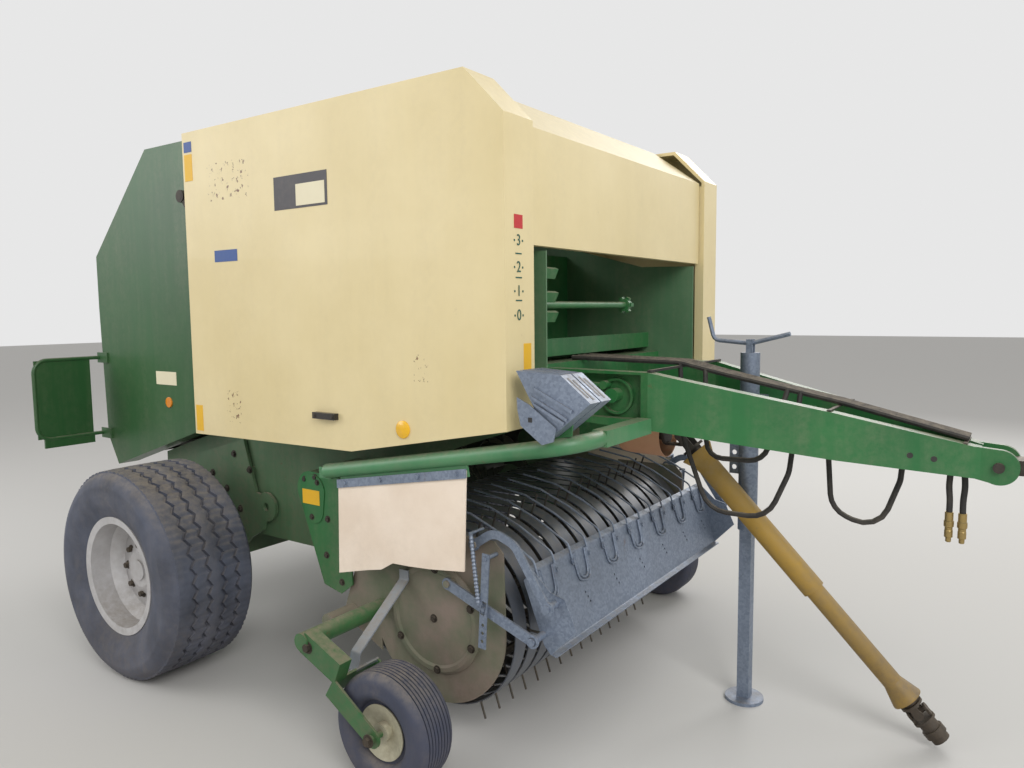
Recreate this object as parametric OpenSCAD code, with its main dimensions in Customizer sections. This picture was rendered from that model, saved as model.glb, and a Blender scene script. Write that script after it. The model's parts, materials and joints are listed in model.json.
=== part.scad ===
// Round baler with a fixed roller chamber, parked on its jack.
// X points forward to the hitch, Y to the machine's left, Z up. Lengths are in millimetres.
// Places along X are counted from the axle, and the whole machine is then shifted by x_mid,
// so that the origin is on the floor under the middle of the machine.

/* [Bale chamber] */
// Half of the width between the chamber walls
chamber_half = 600; // [560:1:640]
// Height of the chamber's centre over the floor
chamber_z = 1400; // [1380:1:1420]
// Thickness of the chamber's side plates
wall_t = 6; // [5:1:8]
// Radius of the press rollers' bodies
roller_r = 84; // [76:1:90]
// Height of the ribs on the press rollers
rib_h = 9; // [6:1:10]
// Ribs round each press roller
rib_count = 10; // [8:1:12]
// Radius of the circle on which the press rollers lie
roller_ring_r = 700; // [696:1:706]

/* [Tailgate] */
// Half of the width over the tailgate's side boxes
tail_half = 700; // [690:1:712]
// Rear end of the tailgate, behind the axle
tail_rear = 800; // [800:1:830]
// Height of the tailgate's top edge
tail_top = 2203; // [2200:1:2215]
// Radius of the tailgate's hinge pins
hinge_pin_r = 25; // [20:1:28]

/* [Covers] */
// Half of the width over the side covers
cover_half = 845; // [835:1:860]
// Width of the covers' front and top strips
strip_w = 152; // [145:1:155]
// Depth of the covers' walls
cover_t = 14; // [10:1:18]
// Rear edge of the side covers, ahead of the axle
cover_rear = 185; // [175:1:195]
// Front face of the side covers
cover_front = 1738; // [1730:1:1745]
// Height of the covers' top
cover_top = 2177; // [2170:1:2182]

/* [Wheels] */
// Outer radius of the main tyres
tyre_r = 427; // [420:1:432]
// Width of the main tyres
tyre_w = 385; // [375:1:391]
// Half of the track of the main wheels
track_half = 941; // [936:1:950]
// Radius over the rims' flanges
rim_r = 240; // [236:1:243]
// Width over the rims' flanges
rim_w = 330; // [320:1:334]
// Outer radius of the gauge tyres
gauge_r = 188; // [180:1:192]
// Width of the gauge tyres
gauge_w = 155; // [145:1:160]
// Half of the track of the gauge wheels
gauge_half = 1000; // [996:1:1006]

/* [Pickup] */
// Half of the width over the pickup's side plates
pickup_half = 740; // [735:1:745]
// Place of the reel's shaft ahead of the axle
reel_x = 1365; // [1360:1:1370]
// Height of the reel's shaft
reel_z = 425; // [422:1:430]
// Radius of the stripper bands
band_r = 300; // [292:1:305]
// Radius at the tips of the tines
tine_r = 380; // [370:1:384]
// Tine bars round the reel
tine_bars = 5; // [4:1:6]
// Tines along each bar
tines_per_bar = 16; // [12:1:18]

/* [Drawbar] */
// Place of the hitch pin ahead of the axle
hitch_x = 2926; // [2900:1:2950]
// Height of the hitch pin
hitch_z = 1003; // [995:1:1010]
// Half of the drawbar's width at the rear
drawbar_half = 340; // [330:1:350]
// Half of the drawbar's width at the hitch
drawbar_tip_half = 62; // [58:1:70]
// Reach from the hitch pin to the centre of the towing eye
eye_reach = 150; // [130:1:170]
// Radius of the towing eye's bore
eye_bore_r = 20; // [19.5:0.5:25]

/* [Jack] */
// Place of the jack ahead of the axle
jack_x = 2138; // [2130:1:2150]
// Place of the jack to the left of the middle
jack_y = 126; // [122:1:132]
// Outer radius of the jack's tube
jack_tube_r = 31; // [30:0.5:33]

/* [Hidden] */
$fn = 64;
small = 28;

eye_outer_r = 55;
lamp_rear = 66;
carrier_x = tail_rear + 20;
x_rear = -(carrier_x + lamp_rear);
x_front = hitch_x + eye_reach + eye_outer_r;
x_mid = (x_front + x_rear) / 2;

green = "forestgreen";
cream = "khaki";
dark = [0.12, 0.12, 0.13];
zinc = "silver";

// Pose helpers
module place() { translate([-x_mid, 0, 0]) children(); }
module both_sides() { children(); mirror([0, 1, 0]) children(); }
// A sheet whose outline is drawn in X and Z, from y = a to y = b on the right side
module sheet_xz(a, b) { translate([0, -a, 0]) rotate([90, 0, 0]) linear_extrude(b - a) children(); }
module sheet_xy(z0, z1) { translate([0, 0, z0]) linear_extrude(z1 - z0) children(); }
// A round bar across the machine at x, z, between two places on Y
module bar_y(x, z, r, y0, y1) { translate([x, y0, z]) rotate([-90, 0, 0]) cylinder(r = r, h = y1 - y0); }
// A round bar between any two points
module rod(p, q, r) {
    d = q - p;
    len = norm(d);
    translate(p) rotate([0, acos(d[2] / len), atan2(d[1], d[0])]) cylinder(r = r, h = len);
}
function unit(v) = v / norm(v);
// The points of a route whose inner corners are rounded to the radius bend
function corner(a, b, c, bend, steps) =
    let (d1 = unit(b - a), d2 = unit(c - b), turn = acos(d1 * d2), cut = bend * tan(turn / 2),
        side = unit(d2 - (d2 * d1) * d1), start = b - cut * d1)
    [for (k = [0 : steps]) start + bend * (sin(turn * k / steps) * d1 + (1 - cos(turn * k / steps)) * side)];
function rounded(pts, bend, steps) = concat([pts[0]],
    [for (i = [1 : len(pts) - 2]) each corner(pts[i - 1], pts[i], pts[i + 1], bend, steps)], [pts[len(pts) - 1]]);
function heading(path, i) = unit(path[min(i + 1, len(path) - 1)] - path[max(i - 1, 0)]);
// A bent bar or hose of even thickness. The vector across lies square to the whole route, or nearly so
module bent_rod(pts, r, bend, across, steps = 4, sides = 8) {
    path = rounded(pts, bend, steps);
    rings = len(path);
    points = [for (i = [0 : rings - 1]) let (t = heading(path, i), u = unit(cross(t, across)), v = cross(t, u))
        for (j = [0 : sides - 1]) path[i] + r * (cos(j * 360 / sides) * u + sin(j * 360 / sides) * v)];
    walls = [for (i = [0 : rings - 2], j = [0 : sides - 1]) let (k = (j + 1) % sides)
        [i * sides + j, (i + 1) * sides + j, (i + 1) * sides + k, i * sides + k]];
    polyhedron(points, concat([[for (j = [0 : sides - 1]) j]], walls,
        [[for (j = [sides - 1 : -1 : 0]) (rings - 1) * sides + j]]));
}
// A flat strip of even width along a route in its own plane
module strip_2d(pts, half, bend) {
    path = len(pts) > 2 ? rounded(pts, bend, 5) : pts;
    last = len(path) - 1;
    polygon(concat([for (i = [0 : last]) let (t = heading(path, i)) path[i] + half * [-t[1], t[0]]],
        [for (i = [last : -1 : 0]) let (t = heading(path, i)) path[i] - half * [-t[1], t[0]]]));
}
module round_box_2d(w, h, r) {
    square([w - 2 * r, h], center = true);
    square([w, h - 2 * r], center = true);
    for (i = [-1, 1], j = [-1, 1]) translate([i * (w / 2 - r), j * (h / 2 - r)]) circle(r = r);
}

// Chamber walls
pivot_x = 90;
pivot_z = 2150;
split_x = 60;
split_gap = 10;
tail_slope = 0.3206;
function tail_bottom(x) = 963.4 + tail_slope * x;
plate_top = 2130;
tail_low_x = -700;
tail_corner = 460;
mouth_r = 212;
plate_front = 1726;
module chamber_plate_2d() {
    difference() {
        union() {
            polygon([[split_x + split_gap, plate_top], [820, plate_top], [1120, 1760], [1480, hood_low - 8],
                [plate_front, hood_low - 14], [plate_front, 1120], [1420, 1020], [1180, 935],
                [feed_x + (mouth_r - 30) * cos(30), feed_z + (mouth_r - 30) * sin(30)], [feed_x, feed_z],
                [feed_x + (mouth_r - 30) * cos(-70), feed_z + (mouth_r - 30) * sin(-70)], [780, 520], [-330, 520],
                [-430, 640], [-430, tail_bottom(-430) - split_gap],
                [split_x + split_gap, tail_bottom(split_x) - split_gap]]);
            translate([feed_x, feed_z]) circle(r = mouth_r);
        }
        translate([pivot_x, pivot_z]) circle(r = 62);
    }
}
cover_pin_y = cover_half - strip_w - 3;
cover_pin_z = cover_top - 3;
cover_pin_r = 6;
cover_hinges = [225, 755];
knuckle_half = 18;
module chamber_side_plates() color(green) place() both_sides() {
    difference() {
        sheet_xz(chamber_half, chamber_half + wall_t) chamber_plate_2d();
        bar_y(feed_x, feed_z, 36, -chamber_half - 20, -chamber_half + 20);
    }
    // Rail along the top with the covers' hinge ears
    translate([160, -chamber_half - wall_t - 78, plate_top - 50]) cube([660, 78, 50]);
    for (x = cover_hinges) {
        for (s = [-1, 1]) translate([x + s * (knuckle_half + 5) - 3, 0, 0]) rotate([90, 0, 90]) linear_extrude(6) {
            translate([-cover_pin_y, cover_pin_z]) circle(r = 10);
            polygon([[-cover_pin_y - 8, cover_pin_z - 6], [-cover_pin_y + 20, plate_top - 10],
                [-cover_pin_y + 50, plate_top - 10], [-cover_pin_y + 8, cover_pin_z + 6]]);
        }
        translate([x - knuckle_half - 9, -cover_pin_y, cover_pin_z]) rotate([0, 90, 0])
            cylinder(r = cover_pin_r, h = 2 * knuckle_half + 18);
    }
    // Hinge ears for the tailgate
    difference() {
        tail_ear();
        bar_y(pivot_x, pivot_z, hinge_pin_r + 0.05, -700, -500);
    }
    // Pins for the lift cylinders
    bar_y(lift_foot[0], lift_foot[1], lift_pin_r, -lift_y - 30, -ear_y);
}
ear_y = chamber_half + wall_t;
module tail_ear() {
    sheet_xz(ear_y, ear_y + 20) union() {
        translate([pivot_x, pivot_z]) circle(r = 46);
        polygon([[pivot_x - 30, pivot_z - 35], [pivot_x, pivot_z + 46], [240, plate_top - 20],
            [240, plate_top - 200], [140, plate_top - 200]]);
    }
}

// Cross members between the chamber walls
module cross_tube(x, z, w, h) {
    translate([x - w / 2, -chamber_half, z - h / 2]) difference() {
        cube([w, 2 * chamber_half, h]);
        translate([5, -1, 5]) cube([w - 10, 2 * chamber_half + 2, h - 10]);
    }
}
head_x = 1500;
head_w = 130;
head_z = 1200;
head_h = 160;
hood_pin_x = 955;
hood_pin_z = cover_top - 27;
hood_pin_r = 6;
hood_hinges = [-560, 560];
module chamber_cross_members() color(green) place() {
    cross_tube(880, 2060, 90, 90);
    cross_tube(head_x, head_z, head_w, head_h);
    cross_tube(-360, 575, 80, 80);
    cross_tube(560, 575, 80, 80);
    // Back wall of the front bay
    translate([1080, -chamber_half, 1330]) cube([5, 2 * chamber_half, 395]);
    // Sloping wall over the mouth
    translate([0, chamber_half, 0]) rotate([90, 0, 0]) linear_extrude(2 * chamber_half)
        polygon([[head_x - head_w / 2, 1136], [head_x - head_w / 2, 1142], [860, 1024], [840, 1050], [834, 1048], [856, 1016]]);
    // Ears of the hood's hinges
    for (y = hood_hinges, s = [-1, 1]) translate([0, y + s * (knuckle_half + 5) + 3, 0]) rotate([90, 0, 0]) linear_extrude(6) {
        translate([hood_pin_x, hood_pin_z]) circle(r = 10);
        polygon([[hood_pin_x - 4, hood_pin_z + 9], [hood_pin_x + 6, hood_pin_z - 8], [920, 2060], [915, 2104]]);
    }
    for (y = hood_hinges) bar_y(hood_pin_x, hood_pin_z, hood_pin_r, y - knuckle_half - 9, y + knuckle_half + 9);
}

// Press rollers
rear_angles = [105, 125, 145, 165, 185, 205, 225];
front_angles = [245, 265, 285, 345, 5, 25, 45, 65, 85];
roller_gap = 3;
module roller_2d() {
    circle(r = roller_r);
    for (i = [0 : rib_count - 1]) rotate(i * 360 / rib_count)
        translate([roller_r - 3, -6]) square([rib_h + 3, 12]);
}
module press_roller(angle) {
    x = roller_ring_r * cos(angle);
    z = chamber_z + roller_ring_r * sin(angle);
    half = chamber_half - roller_gap;
    translate([x, half, z]) rotate([90, 0, 0]) linear_extrude(2 * half) roller_2d();
    bar_y(x, z, 25, -chamber_half + 0.5, chamber_half - 0.5);
}
module front_press_rollers() color("darkslategray") place() for (a = front_angles) press_roller(a);
module tailgate_rollers() color("darkslategray") place() for (a = rear_angles) press_roller(a);

// Feed rotor between pickup and chamber
feed_x = 755;
feed_z = 760;
feed_r = 195;
rotor_shaft_r = 35;
module feed_rotor() color("darkslategray") place() {
    bar_y(feed_x, feed_z, rotor_shaft_r, -pick_out, pick_out);
    bar_y(feed_x, feed_z, 75, -560, 560);
    for (i = [-6 : 6]) translate([feed_x, i * 88 - 4, feed_z]) rotate([-90, i * 20, 0])
        linear_extrude(8) star_2d();
}
module star_2d() for (k = [0 : 3]) rotate(k * 90)
    polygon([[60, -42], [120, -30], [feed_r, 12], [feed_r - 8, 30], [110, 30], [60, 42]]);

// Axle
axle_half = 765;
hub_y = 1021;
hub_in = track_half - 140;
spindle_r = 35;
module axle_beam() color(green) place() {
    difference() {
        translate([-50, -axle_half, tyre_r - 50]) cube([100, 2 * axle_half, 100]);
        translate([-42, -700, tyre_r - 42]) cube([84, 1400, 84]);
    }
    both_sides() {
        bar_y(0, tyre_r, 60, -hub_in + 5, -axle_half);
        bar_y(0, tyre_r, spindle_r, -hub_y + 44, -axle_half);
        sheet_xz(612, 626) difference() {
            union() {
                polygon([[-75, 372], [75, 372], [215, 500], [300, 545], [365, 690], [262, 705],
                    [190, 930], [-120, 845], [-150, 760]]);
                translate([325, 650]) circle(r = 62);
            }
            translate([325, 650]) circle(r = 18);
        }
        for (p = [[225, 800], [120, 860], [150, 620]]) bar_y(p[0], p[1], 14, -612, -ear_y);
    }
}

// Tailgate
module tail_2d(grow = 0) {
    polygon([[split_x, tail_top + grow], [-330, tail_top + grow],
        [-tail_rear - grow, tail_top - tail_corner + 8 - grow / 2], [-tail_rear - grow, 1500],
        [-tail_rear + 20 - grow, 880], [tail_low_x, 742 - grow], [split_x, tail_bottom(split_x) - grow]]);
}
box_in = chamber_half + wall_t;
module tailgate_sides() color(green) place() both_sides() {
    difference() {
        union() {
            sheet_xz(chamber_half, tail_half) tail_2d();
            sheet_xz(chamber_half, box_in - 0.5) translate([pivot_x, pivot_z]) circle(r = 52);
        }
        // The box is open to the front, where the hinge ears reach in
        sheet_xz(box_in - 0.5, tail_half - wall_t) difference() {
            translate([-1000, 600]) square([1200, 2000]);
            tail_rim_2d();
        }
    }
    bar_y(pivot_x, pivot_z, hinge_pin_r, -tail_half + 20, -chamber_half);
}
module tail_rim_2d() difference() {
    tail_2d();
    polygon([[split_x + 1, tail_top - 6], [-327, tail_top - 6],
        [-tail_rear + 6, tail_top - tail_corner + 5], [-tail_rear + 6, 1500],
        [-tail_rear + 26, 883], [tail_low_x + 4, 749], [split_x + 1, tail_bottom(split_x) + 7]]);
}
module tailgate_frame() color(green) place() {
    for (p = [[-320, 2140, 50, 50], [-772, 1460, 40, 50], [-755, 1210, 40, 40], [-690, 855, 50, 50]])
        translate([p[0] - p[2] / 2, -chamber_half, p[1] - p[3] / 2]) cube([p[2], 2 * chamber_half, p[3]]);
}

// Light carriers on the tailgate
loop_out = 1010;
loop_top = 1262;
loop_low = 890;
loop_r = 60;
tube_r = 9;
module carrier_loop() {
    x = -carrier_x;
    rod([x, -tail_half, loop_top], [x, -loop_out + loop_r, loop_top], tube_r);
    rod([x, -loop_out, loop_top - loop_r], [x, -loop_out, loop_low + loop_r], tube_r);
    rod([x, -tail_half, loop_low], [x, -loop_out + loop_r, loop_low], tube_r);
    for (q = [[loop_top - loop_r, 90], [loop_low + loop_r, 180]])
        translate([x, -loop_out + loop_r, q[0]]) rotate([90, 0, 90]) rotate([0, 0, q[1]])
            rotate_extrude(angle = 90) translate([loop_r, 0]) circle(r = tube_r);
}
module light_carriers() color(green) place() both_sides() {
    carrier_loop();
    translate([-carrier_x - 2, -loop_out + 2, loop_low + 2]) cube([4, 255, loop_top - loop_low - 4]);
    for (z = [loop_top, loop_low]) translate([-tail_rear - 30, -tail_half - 8, z - 25]) cube([90, 8, 50]);
    translate([-carrier_x - 6, -loop_out + 30, loop_low - 42]) cube([12, 230, 40]);
}
module rear_lamps() color("firebrick") place() both_sides() {
    translate([-carrier_x - lamp_rear, -loop_out + 60, 1030]) cube([lamp_rear - 2, 110, 150]);
}

// Side covers
cover_nose = 1596;
cover_chin = 2032;
cover_low_x = 1087;
cover_low = 997;
cover_front_low = 1117;
cover_rear_low = 986;
return_w = 40;
module cover_2d() {
    polygon([[cover_rear, cover_top], [cover_nose, cover_top], [cover_front, cover_chin],
        [cover_front, cover_front_low], [cover_low_x, cover_low], [cover_rear, cover_rear_low]]);
}
module cover_inner_2d() {
    t = cover_t;
    polygon([[cover_rear - 1, cover_top - t], [cover_nose - 6, cover_top - t],
        [cover_front - t, cover_chin - 5], [cover_front - t, 900], [cover_rear - 1, 900]]);
}
module side_cover() {
    difference() {
        sheet_xz(cover_half - strip_w, cover_half) cover_2d();
        sheet_xz(cover_half - strip_w - 1, cover_half - cover_t) cover_inner_2d();
        for (x = cover_hinges) translate([x - knuckle_half - 14, -cover_half + strip_w - 18, cover_top - 40])
            cube([2 * knuckle_half + 28, 20, 60]);
    }
    // Knuckles of the hinges
    for (x = cover_hinges) translate([x - knuckle_half, 0, 0]) rotate([90, 0, 90]) linear_extrude(2 * knuckle_half) difference() {
        union() {
            translate([-cover_pin_y, cover_pin_z]) circle(r = 10);
            translate([-cover_pin_y - 30, cover_top - 9]) square([30, 9]);
        }
        translate([-cover_pin_y, cover_pin_z]) circle(r = cover_pin_r + 0.05);
    }
    // Return along the strip's inner edge
    translate([cover_front - return_w, -cover_half + strip_w - 4, cover_front_low + 20])
        cube([return_w - cover_t + 1, 4, cover_chin - cover_front_low - 40]);
    // Handle
    translate([974 - 55, -cover_half - 22, 1102]) cube([110, 22.5, 22]);
}
module side_cover_right() color(cream) place() side_cover();
module side_cover_left() color(cream) place() mirror([0, 1, 0]) side_cover();

// Front hood between the covers
hood_half = cover_half - strip_w - 13;
hood_rear = 942;
hood_t = 12;
hood_face = 1718;
hood_crease = 2022;
hood_low = 1670;
hood_lip = 30;
module front_hood() color(cream) place() {
    difference() {
        sheet_xz(-hood_half, hood_half) polygon([[hood_rear, cover_top], [1504, cover_top],
            [hood_face, hood_crease], [hood_face, hood_low], [hood_face - hood_lip, hood_low],
            [hood_face - hood_lip, hood_low + hood_t], [hood_face - hood_t, hood_low + hood_t],
            [hood_face - hood_t, hood_crease - 5], [1500, cover_top - hood_t], [hood_rear, cover_top - hood_t]]);
    }
    for (y = hood_hinges) translate([0, y + knuckle_half, 0]) rotate([90, 0, 0]) linear_extrude(2 * knuckle_half) difference() {
        union() {
            translate([hood_pin_x, hood_pin_z]) circle(r = 10);
            translate([hood_pin_x - 10, hood_pin_z]) square([20, cover_top - hood_t - hood_pin_z + 1]);
        }
        translate([hood_pin_x, hood_pin_z]) circle(r = hood_pin_r + 0.05);
    }
}

// Main wheels
bead_r = 218;
tyre_wall = 20;
// Half of a tyre's section as a whole ring: crown radius, bead radius, width, shoulder radius, wall,
// width between the rim's flanges, grooves round the tread and their depth
module tyre_2d(r, bead, w, shoulder, wall, seat_w, grooves, deep) {
    low = bead + 24;
    difference() {
        union() {
            translate([(r + low) / 2, 0]) round_box_2d(r - low, w, shoulder);
            translate([bead, -seat_w / 2]) square([60, seat_w]);
        }
        translate([(r + low) / 2, 0]) round_box_2d(r - low - 2 * wall, w - 2 * wall, shoulder * 0.7);
        translate([bead - 1, -seat_w / 2 + wall]) square([80, seat_w - 2 * wall]);
        for (i = [0 : grooves - 1]) translate([r - deep, (i - (grooves - 1) / 2) * (w - 1.4 * shoulder) / grooves - deep * 0.4])
            square([deep + 1, deep * 0.8]);
    }
}
module wheel_at(x, y, z) translate([x, y, z]) rotate([90, 0, 0]) children();
module main_tyre() rotate_extrude($fn = 96) tyre_2d(tyre_r, bead_r, tyre_w, 62, tyre_wall, rim_w - 30, 4, 11);
rim_t = 7;
// Positive local Z points away from the machine
module main_rim() {
    difference() {
        rotate_extrude($fn = 96) polygon([[bead_r, -rim_w / 2 + 14], [rim_r, -rim_w / 2 + 6], [rim_r, -rim_w / 2],
            [bead_r - rim_t, -rim_w / 2 + 4], [bead_r - rim_t, -60], [170, -40], [170, 20],
            [70, 60], [70, 72], [177, 34], [bead_r - rim_t, 80],
            [bead_r - rim_t, rim_w / 2 - 4], [rim_r, rim_w / 2], [rim_r, rim_w / 2 - 6],
            [bead_r - 0.3, rim_w / 2 - 14], [bead_r - 0.3, 84], [186, 30], [186, -34],
            [bead_r - 0.3, -70], [bead_r - 0.3, -rim_w / 2 + 14]]);
    }
    // Hub with its cap
    difference() {
        translate([0, 0, hub_in - track_half]) cylinder(r = 72, h = 212);
        translate([0, 0, hub_in - track_half - 1]) cylinder(r = spindle_r + 0.05, h = 180);
    }
    translate([0, 0, 72]) cylinder(r = 42, h = 8);
}
module tyre_right() color(dark) place() wheel_at(0, -track_half, tyre_r) main_tyre();
module rim_right() color(zinc) place() wheel_at(0, -track_half, tyre_r) main_rim();
module tyre_left() color(dark) place() mirror([0, 1, 0]) wheel_at(0, -track_half, tyre_r) main_tyre();
module rim_left() color(zinc) place() mirror([0, 1, 0]) wheel_at(0, -track_half, tyre_r) main_rim();

// Gauge wheels
gauge_x = 1405;
gauge_bead = 76;
gauge_pin_r = 12;
module gauge_tyre() rotate_extrude($fn = 64) tyre_2d(gauge_r, gauge_bead, gauge_w, 34, 12, 92, 8, 5);
module gauge_rim() {
    difference() {
        rotate_extrude($fn = 64) polygon([[gauge_bead - 0.3, -47], [gauge_bead + 12, -52], [gauge_bead + 12, -56],
            [gauge_bead - 5, -50], [gauge_bead - 5, 36], [28, 30], [28, 36], [gauge_bead - 5, 50],
            [gauge_bead + 12, 56], [gauge_bead + 12, 52], [gauge_bead - 0.3, 47]]);
    }
    difference() {
        translate([0, 0, -60]) cylinder(r = 30, h = 120);
        translate([0, 0, -61]) cylinder(r = gauge_pin_r + 0.05, h = 122);
    }
}
module gauge_tyre_right() color(dark) place() wheel_at(gauge_x, -gauge_half, gauge_r) gauge_tyre();
module gauge_rim_right() color(cream) place() wheel_at(gauge_x, -gauge_half, gauge_r) gauge_rim();
module gauge_tyre_left() color(dark) place() mirror([0, 1, 0]) wheel_at(gauge_x, -gauge_half, gauge_r) gauge_tyre();
module gauge_rim_left() color(cream) place() mirror([0, 1, 0]) wheel_at(gauge_x, -gauge_half, gauge_r) gauge_rim();

// Side boxes beside the feed rotor, fixed to the chamber walls
module intake_side_boxes() color(green) place() both_sides() {
    difference() {
        union() {
            sheet_xz(pickup_half - wall_t, pickup_half) union() {
                translate([745, 800]) circle(r = 72);
                polygon([[674, 790], [808, 445], [900, 425], [960, 470], [940, 860], [760, 872]]);
            }
            sheet_xz(ear_y, pickup_half) polygon([[674, 790], [808, 445], [815, 448], [681, 793]]);
            sheet_xz(ear_y, pickup_half) polygon([[740, 866], [940, 854], [940, 860], [740, 872]]);
        }
        bar_y(feed_x, feed_z, rotor_shaft_r + 0.05, -pickup_half - 20, -ear_y);
    }
}

// Pickup side plates with the tubes that carry the bands
plate_gap = 8;
pick_in = pickup_half - wall_t;
pick_out = pick_in - plate_gap;
shield_r = 195;
shield_t = 18;
tie_x = 945;
tie_z = 362;
tie_r = 26;
shelf_x = 972;
shelf_w = 40;
shelf_h = 30;
guard_pin_r = 12;
arm_x = 1542;
arm_z = 724;
link_x = 1440;
link_z = 579;
module pickup_side_plates() color(green) place() {
    both_sides() {
        difference() {
            sheet_xz(pick_out - wall_t, pick_out) union() {
                translate([reel_x - 15, reel_z]) circle(r = 290);
                polygon([[1350, 500], [1640, 460], [1634, 700], [1600, 735], [1300, 735]]);
                polygon([[1070, 440], [reel_x, 716], [feed_x, feed_z + 55], [feed_x - 35, feed_z - 30], [960, 520]]);
                polygon([[905, 375], [930, 325], [1090, 250], [1090, 470], [960, 520]]);
                translate([tie_x, tie_z]) circle(r = 40);
                translate([feed_x, feed_z]) circle(r = 55);
            }
            bar_y(reel_x, reel_z, reel_shaft_r + 0.05, -pickup_half, -600);
            bar_y(feed_x, feed_z, rotor_shaft_r + 0.05, -pickup_half, -600);
        }
        // Round shield over the reel's bearing
        translate([reel_x - 15, -pick_out, reel_z + 5]) rotate([90, 0, 0]) rotate_extrude()
            polygon([[0, 0], [shield_r, 0], [shield_r, 5], [shield_r - 12, shield_t], [shield_r - 26, shield_t],
                [shield_r - 34, shield_t - 6], [0, shield_t - 6]]);
        bar_y(arm_x, arm_z, guard_pin_r, -arm_in - 14, -pick_out);
        bar_y(link_x, link_z, guard_pin_r, -arm_in - 28, -pick_out);
        bar_y(tie_x, tie_z, tie_r + 5, -pickup_half - 110, -pick_out);
    }
    bar_y(tie_x, tie_z, tie_r, -pick_out, pick_out);
    translate([shelf_x, -pick_out + wall_t, reel_z + band_r - band_t - 0.3 - shelf_h])
        cube([shelf_w, 2 * (pick_out - wall_t), shelf_h]);
}

// Stripper bands round the reel, from the shelf over the reel's front to the tie tube
band_count = tines_per_bar + 1;
band_w = 62;
band_pitch = 84;
band_t = 4;
band_thin = 0.4;
band_reach = norm([tie_x - reel_x, tie_z - reel_z]);
band_low = atan2(tie_z - reel_z, tie_x - reel_x) + 90 - asin((band_r - band_t - tie_r - 0.3) / band_reach) + 360;
band_tail = sqrt(band_reach * band_reach - pow(band_r - band_t - tie_r - 0.3, 2));
module band_2d() {
    difference() {
        circle(r = band_r);
        circle(r = band_r - band_t);
        rotate(90) square([600, 600]);
        rotate(band_low - 90) square([600, 600]);
    }
    // The straight ends are a little thinner than the bend
    translate([shelf_x - reel_x, band_r - band_t + band_thin]) square([reel_x - shelf_x + 8, band_t - 2 * band_thin]);
    rotate(band_low) translate([band_r - band_t + band_thin, -band_tail]) square([band_t - 2 * band_thin, band_tail + 8]);
}
module stripper_bands() color("slategray") place() {
    for (i = [0 : band_count - 1]) translate([reel_x, (i - (band_count - 1) / 2) * band_pitch + band_w / 2, reel_z])
        rotate([90, 0, 0]) linear_extrude(band_w) band_2d();
}

// Tine reel
reel_shaft_r = 25;
reel_half = pick_out - wall_t - 8;
bar_ring_r = 215;
module tine_reel() color(zinc) place() translate([reel_x, 0, reel_z]) rotate([-90, 0, 0]) {
    translate([0, 0, -pick_out]) cylinder(r = reel_shaft_r, h = 2 * pick_out);
    for (y = [-reel_half + 30, -4, reel_half - 38]) translate([0, 0, y]) difference() {
        cylinder(r = bar_ring_r + 30, h = 8);
        for (k = [0 : tine_bars - 1]) rotate((k + 0.5) * 360 / tine_bars) translate([140, 0, -1]) cylinder(r = 45, h = 10);
    }
    for (k = [0 : tine_bars - 1]) rotate(k * 360 / tine_bars) {
        translate([bar_ring_r, 0, -reel_half + 20]) cylinder(r = 15, h = 2 * reel_half - 40);
        for (i = [0 : tines_per_bar - 1])
            translate([bar_ring_r, 0, (i - (tines_per_bar - 1) / 2) * band_pitch])
                rotate([0, 90, 0]) cylinder(r = 4, h = tine_r - bar_ring_r, $fn = small);
    }
}

// Gauge wheel arms with their forks and stays
fork_t = 8;
fork_gap = 12.5;
fork_in = gauge_w / 2 + fork_gap;
fork_out = gauge_half + fork_in + fork_t;
arm_w = 50;
arm_back = [1103, 418];
arm_front = [1262, 352];
fork_top = [1225, 300];
fork_half = 36;
gauge_axle = [gauge_x, gauge_r];
fork_d = unit(gauge_axle - fork_top);
fork_n = [-fork_d[1], fork_d[0]];
module fork_plate_2d() {
    polygon([fork_top + fork_half * fork_n, fork_top - fork_half * fork_n, gauge_axle - 30 * fork_n, gauge_axle + 30 * fork_n]);
    translate(gauge_axle) circle(r = 30);
}
module gauge_arms() color(green) place() both_sides() {
    rod([arm_back[0], -pick_out, arm_back[1]], [arm_back[0], -fork_out - 6, arm_back[1]], 30);
    sheet_xz(fork_out - arm_w, fork_out) strip_2d([arm_back, arm_front], 38, 10);
    for (y = [gauge_half - fork_in - fork_t, gauge_half + fork_in]) sheet_xz(y, y + fork_t) fork_plate_2d();
    sheet_xz(gauge_half - fork_in - fork_t, fork_out) polygon([fork_top + fork_half * fork_n, fork_top - fork_half * fork_n,
        fork_top - fork_half * fork_n + fork_t * fork_d, fork_top + fork_half * fork_n + fork_t * fork_d]);
    bar_y(gauge_x, gauge_r, gauge_pin_r, -fork_out - 14, -gauge_half + fork_in + fork_t + 10);
    // Stay from the shield to the fork
    translate([1206, 0, 0]) rotate([90, 0, 90]) linear_extrude(40)
        strip_2d([[-pick_out - shield_t - 3, 580], [-pick_out - shield_t - 3, 545], [-gauge_half + 18, 372],
            [-gauge_half + 2, 318]], 3, 14);
}

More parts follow.
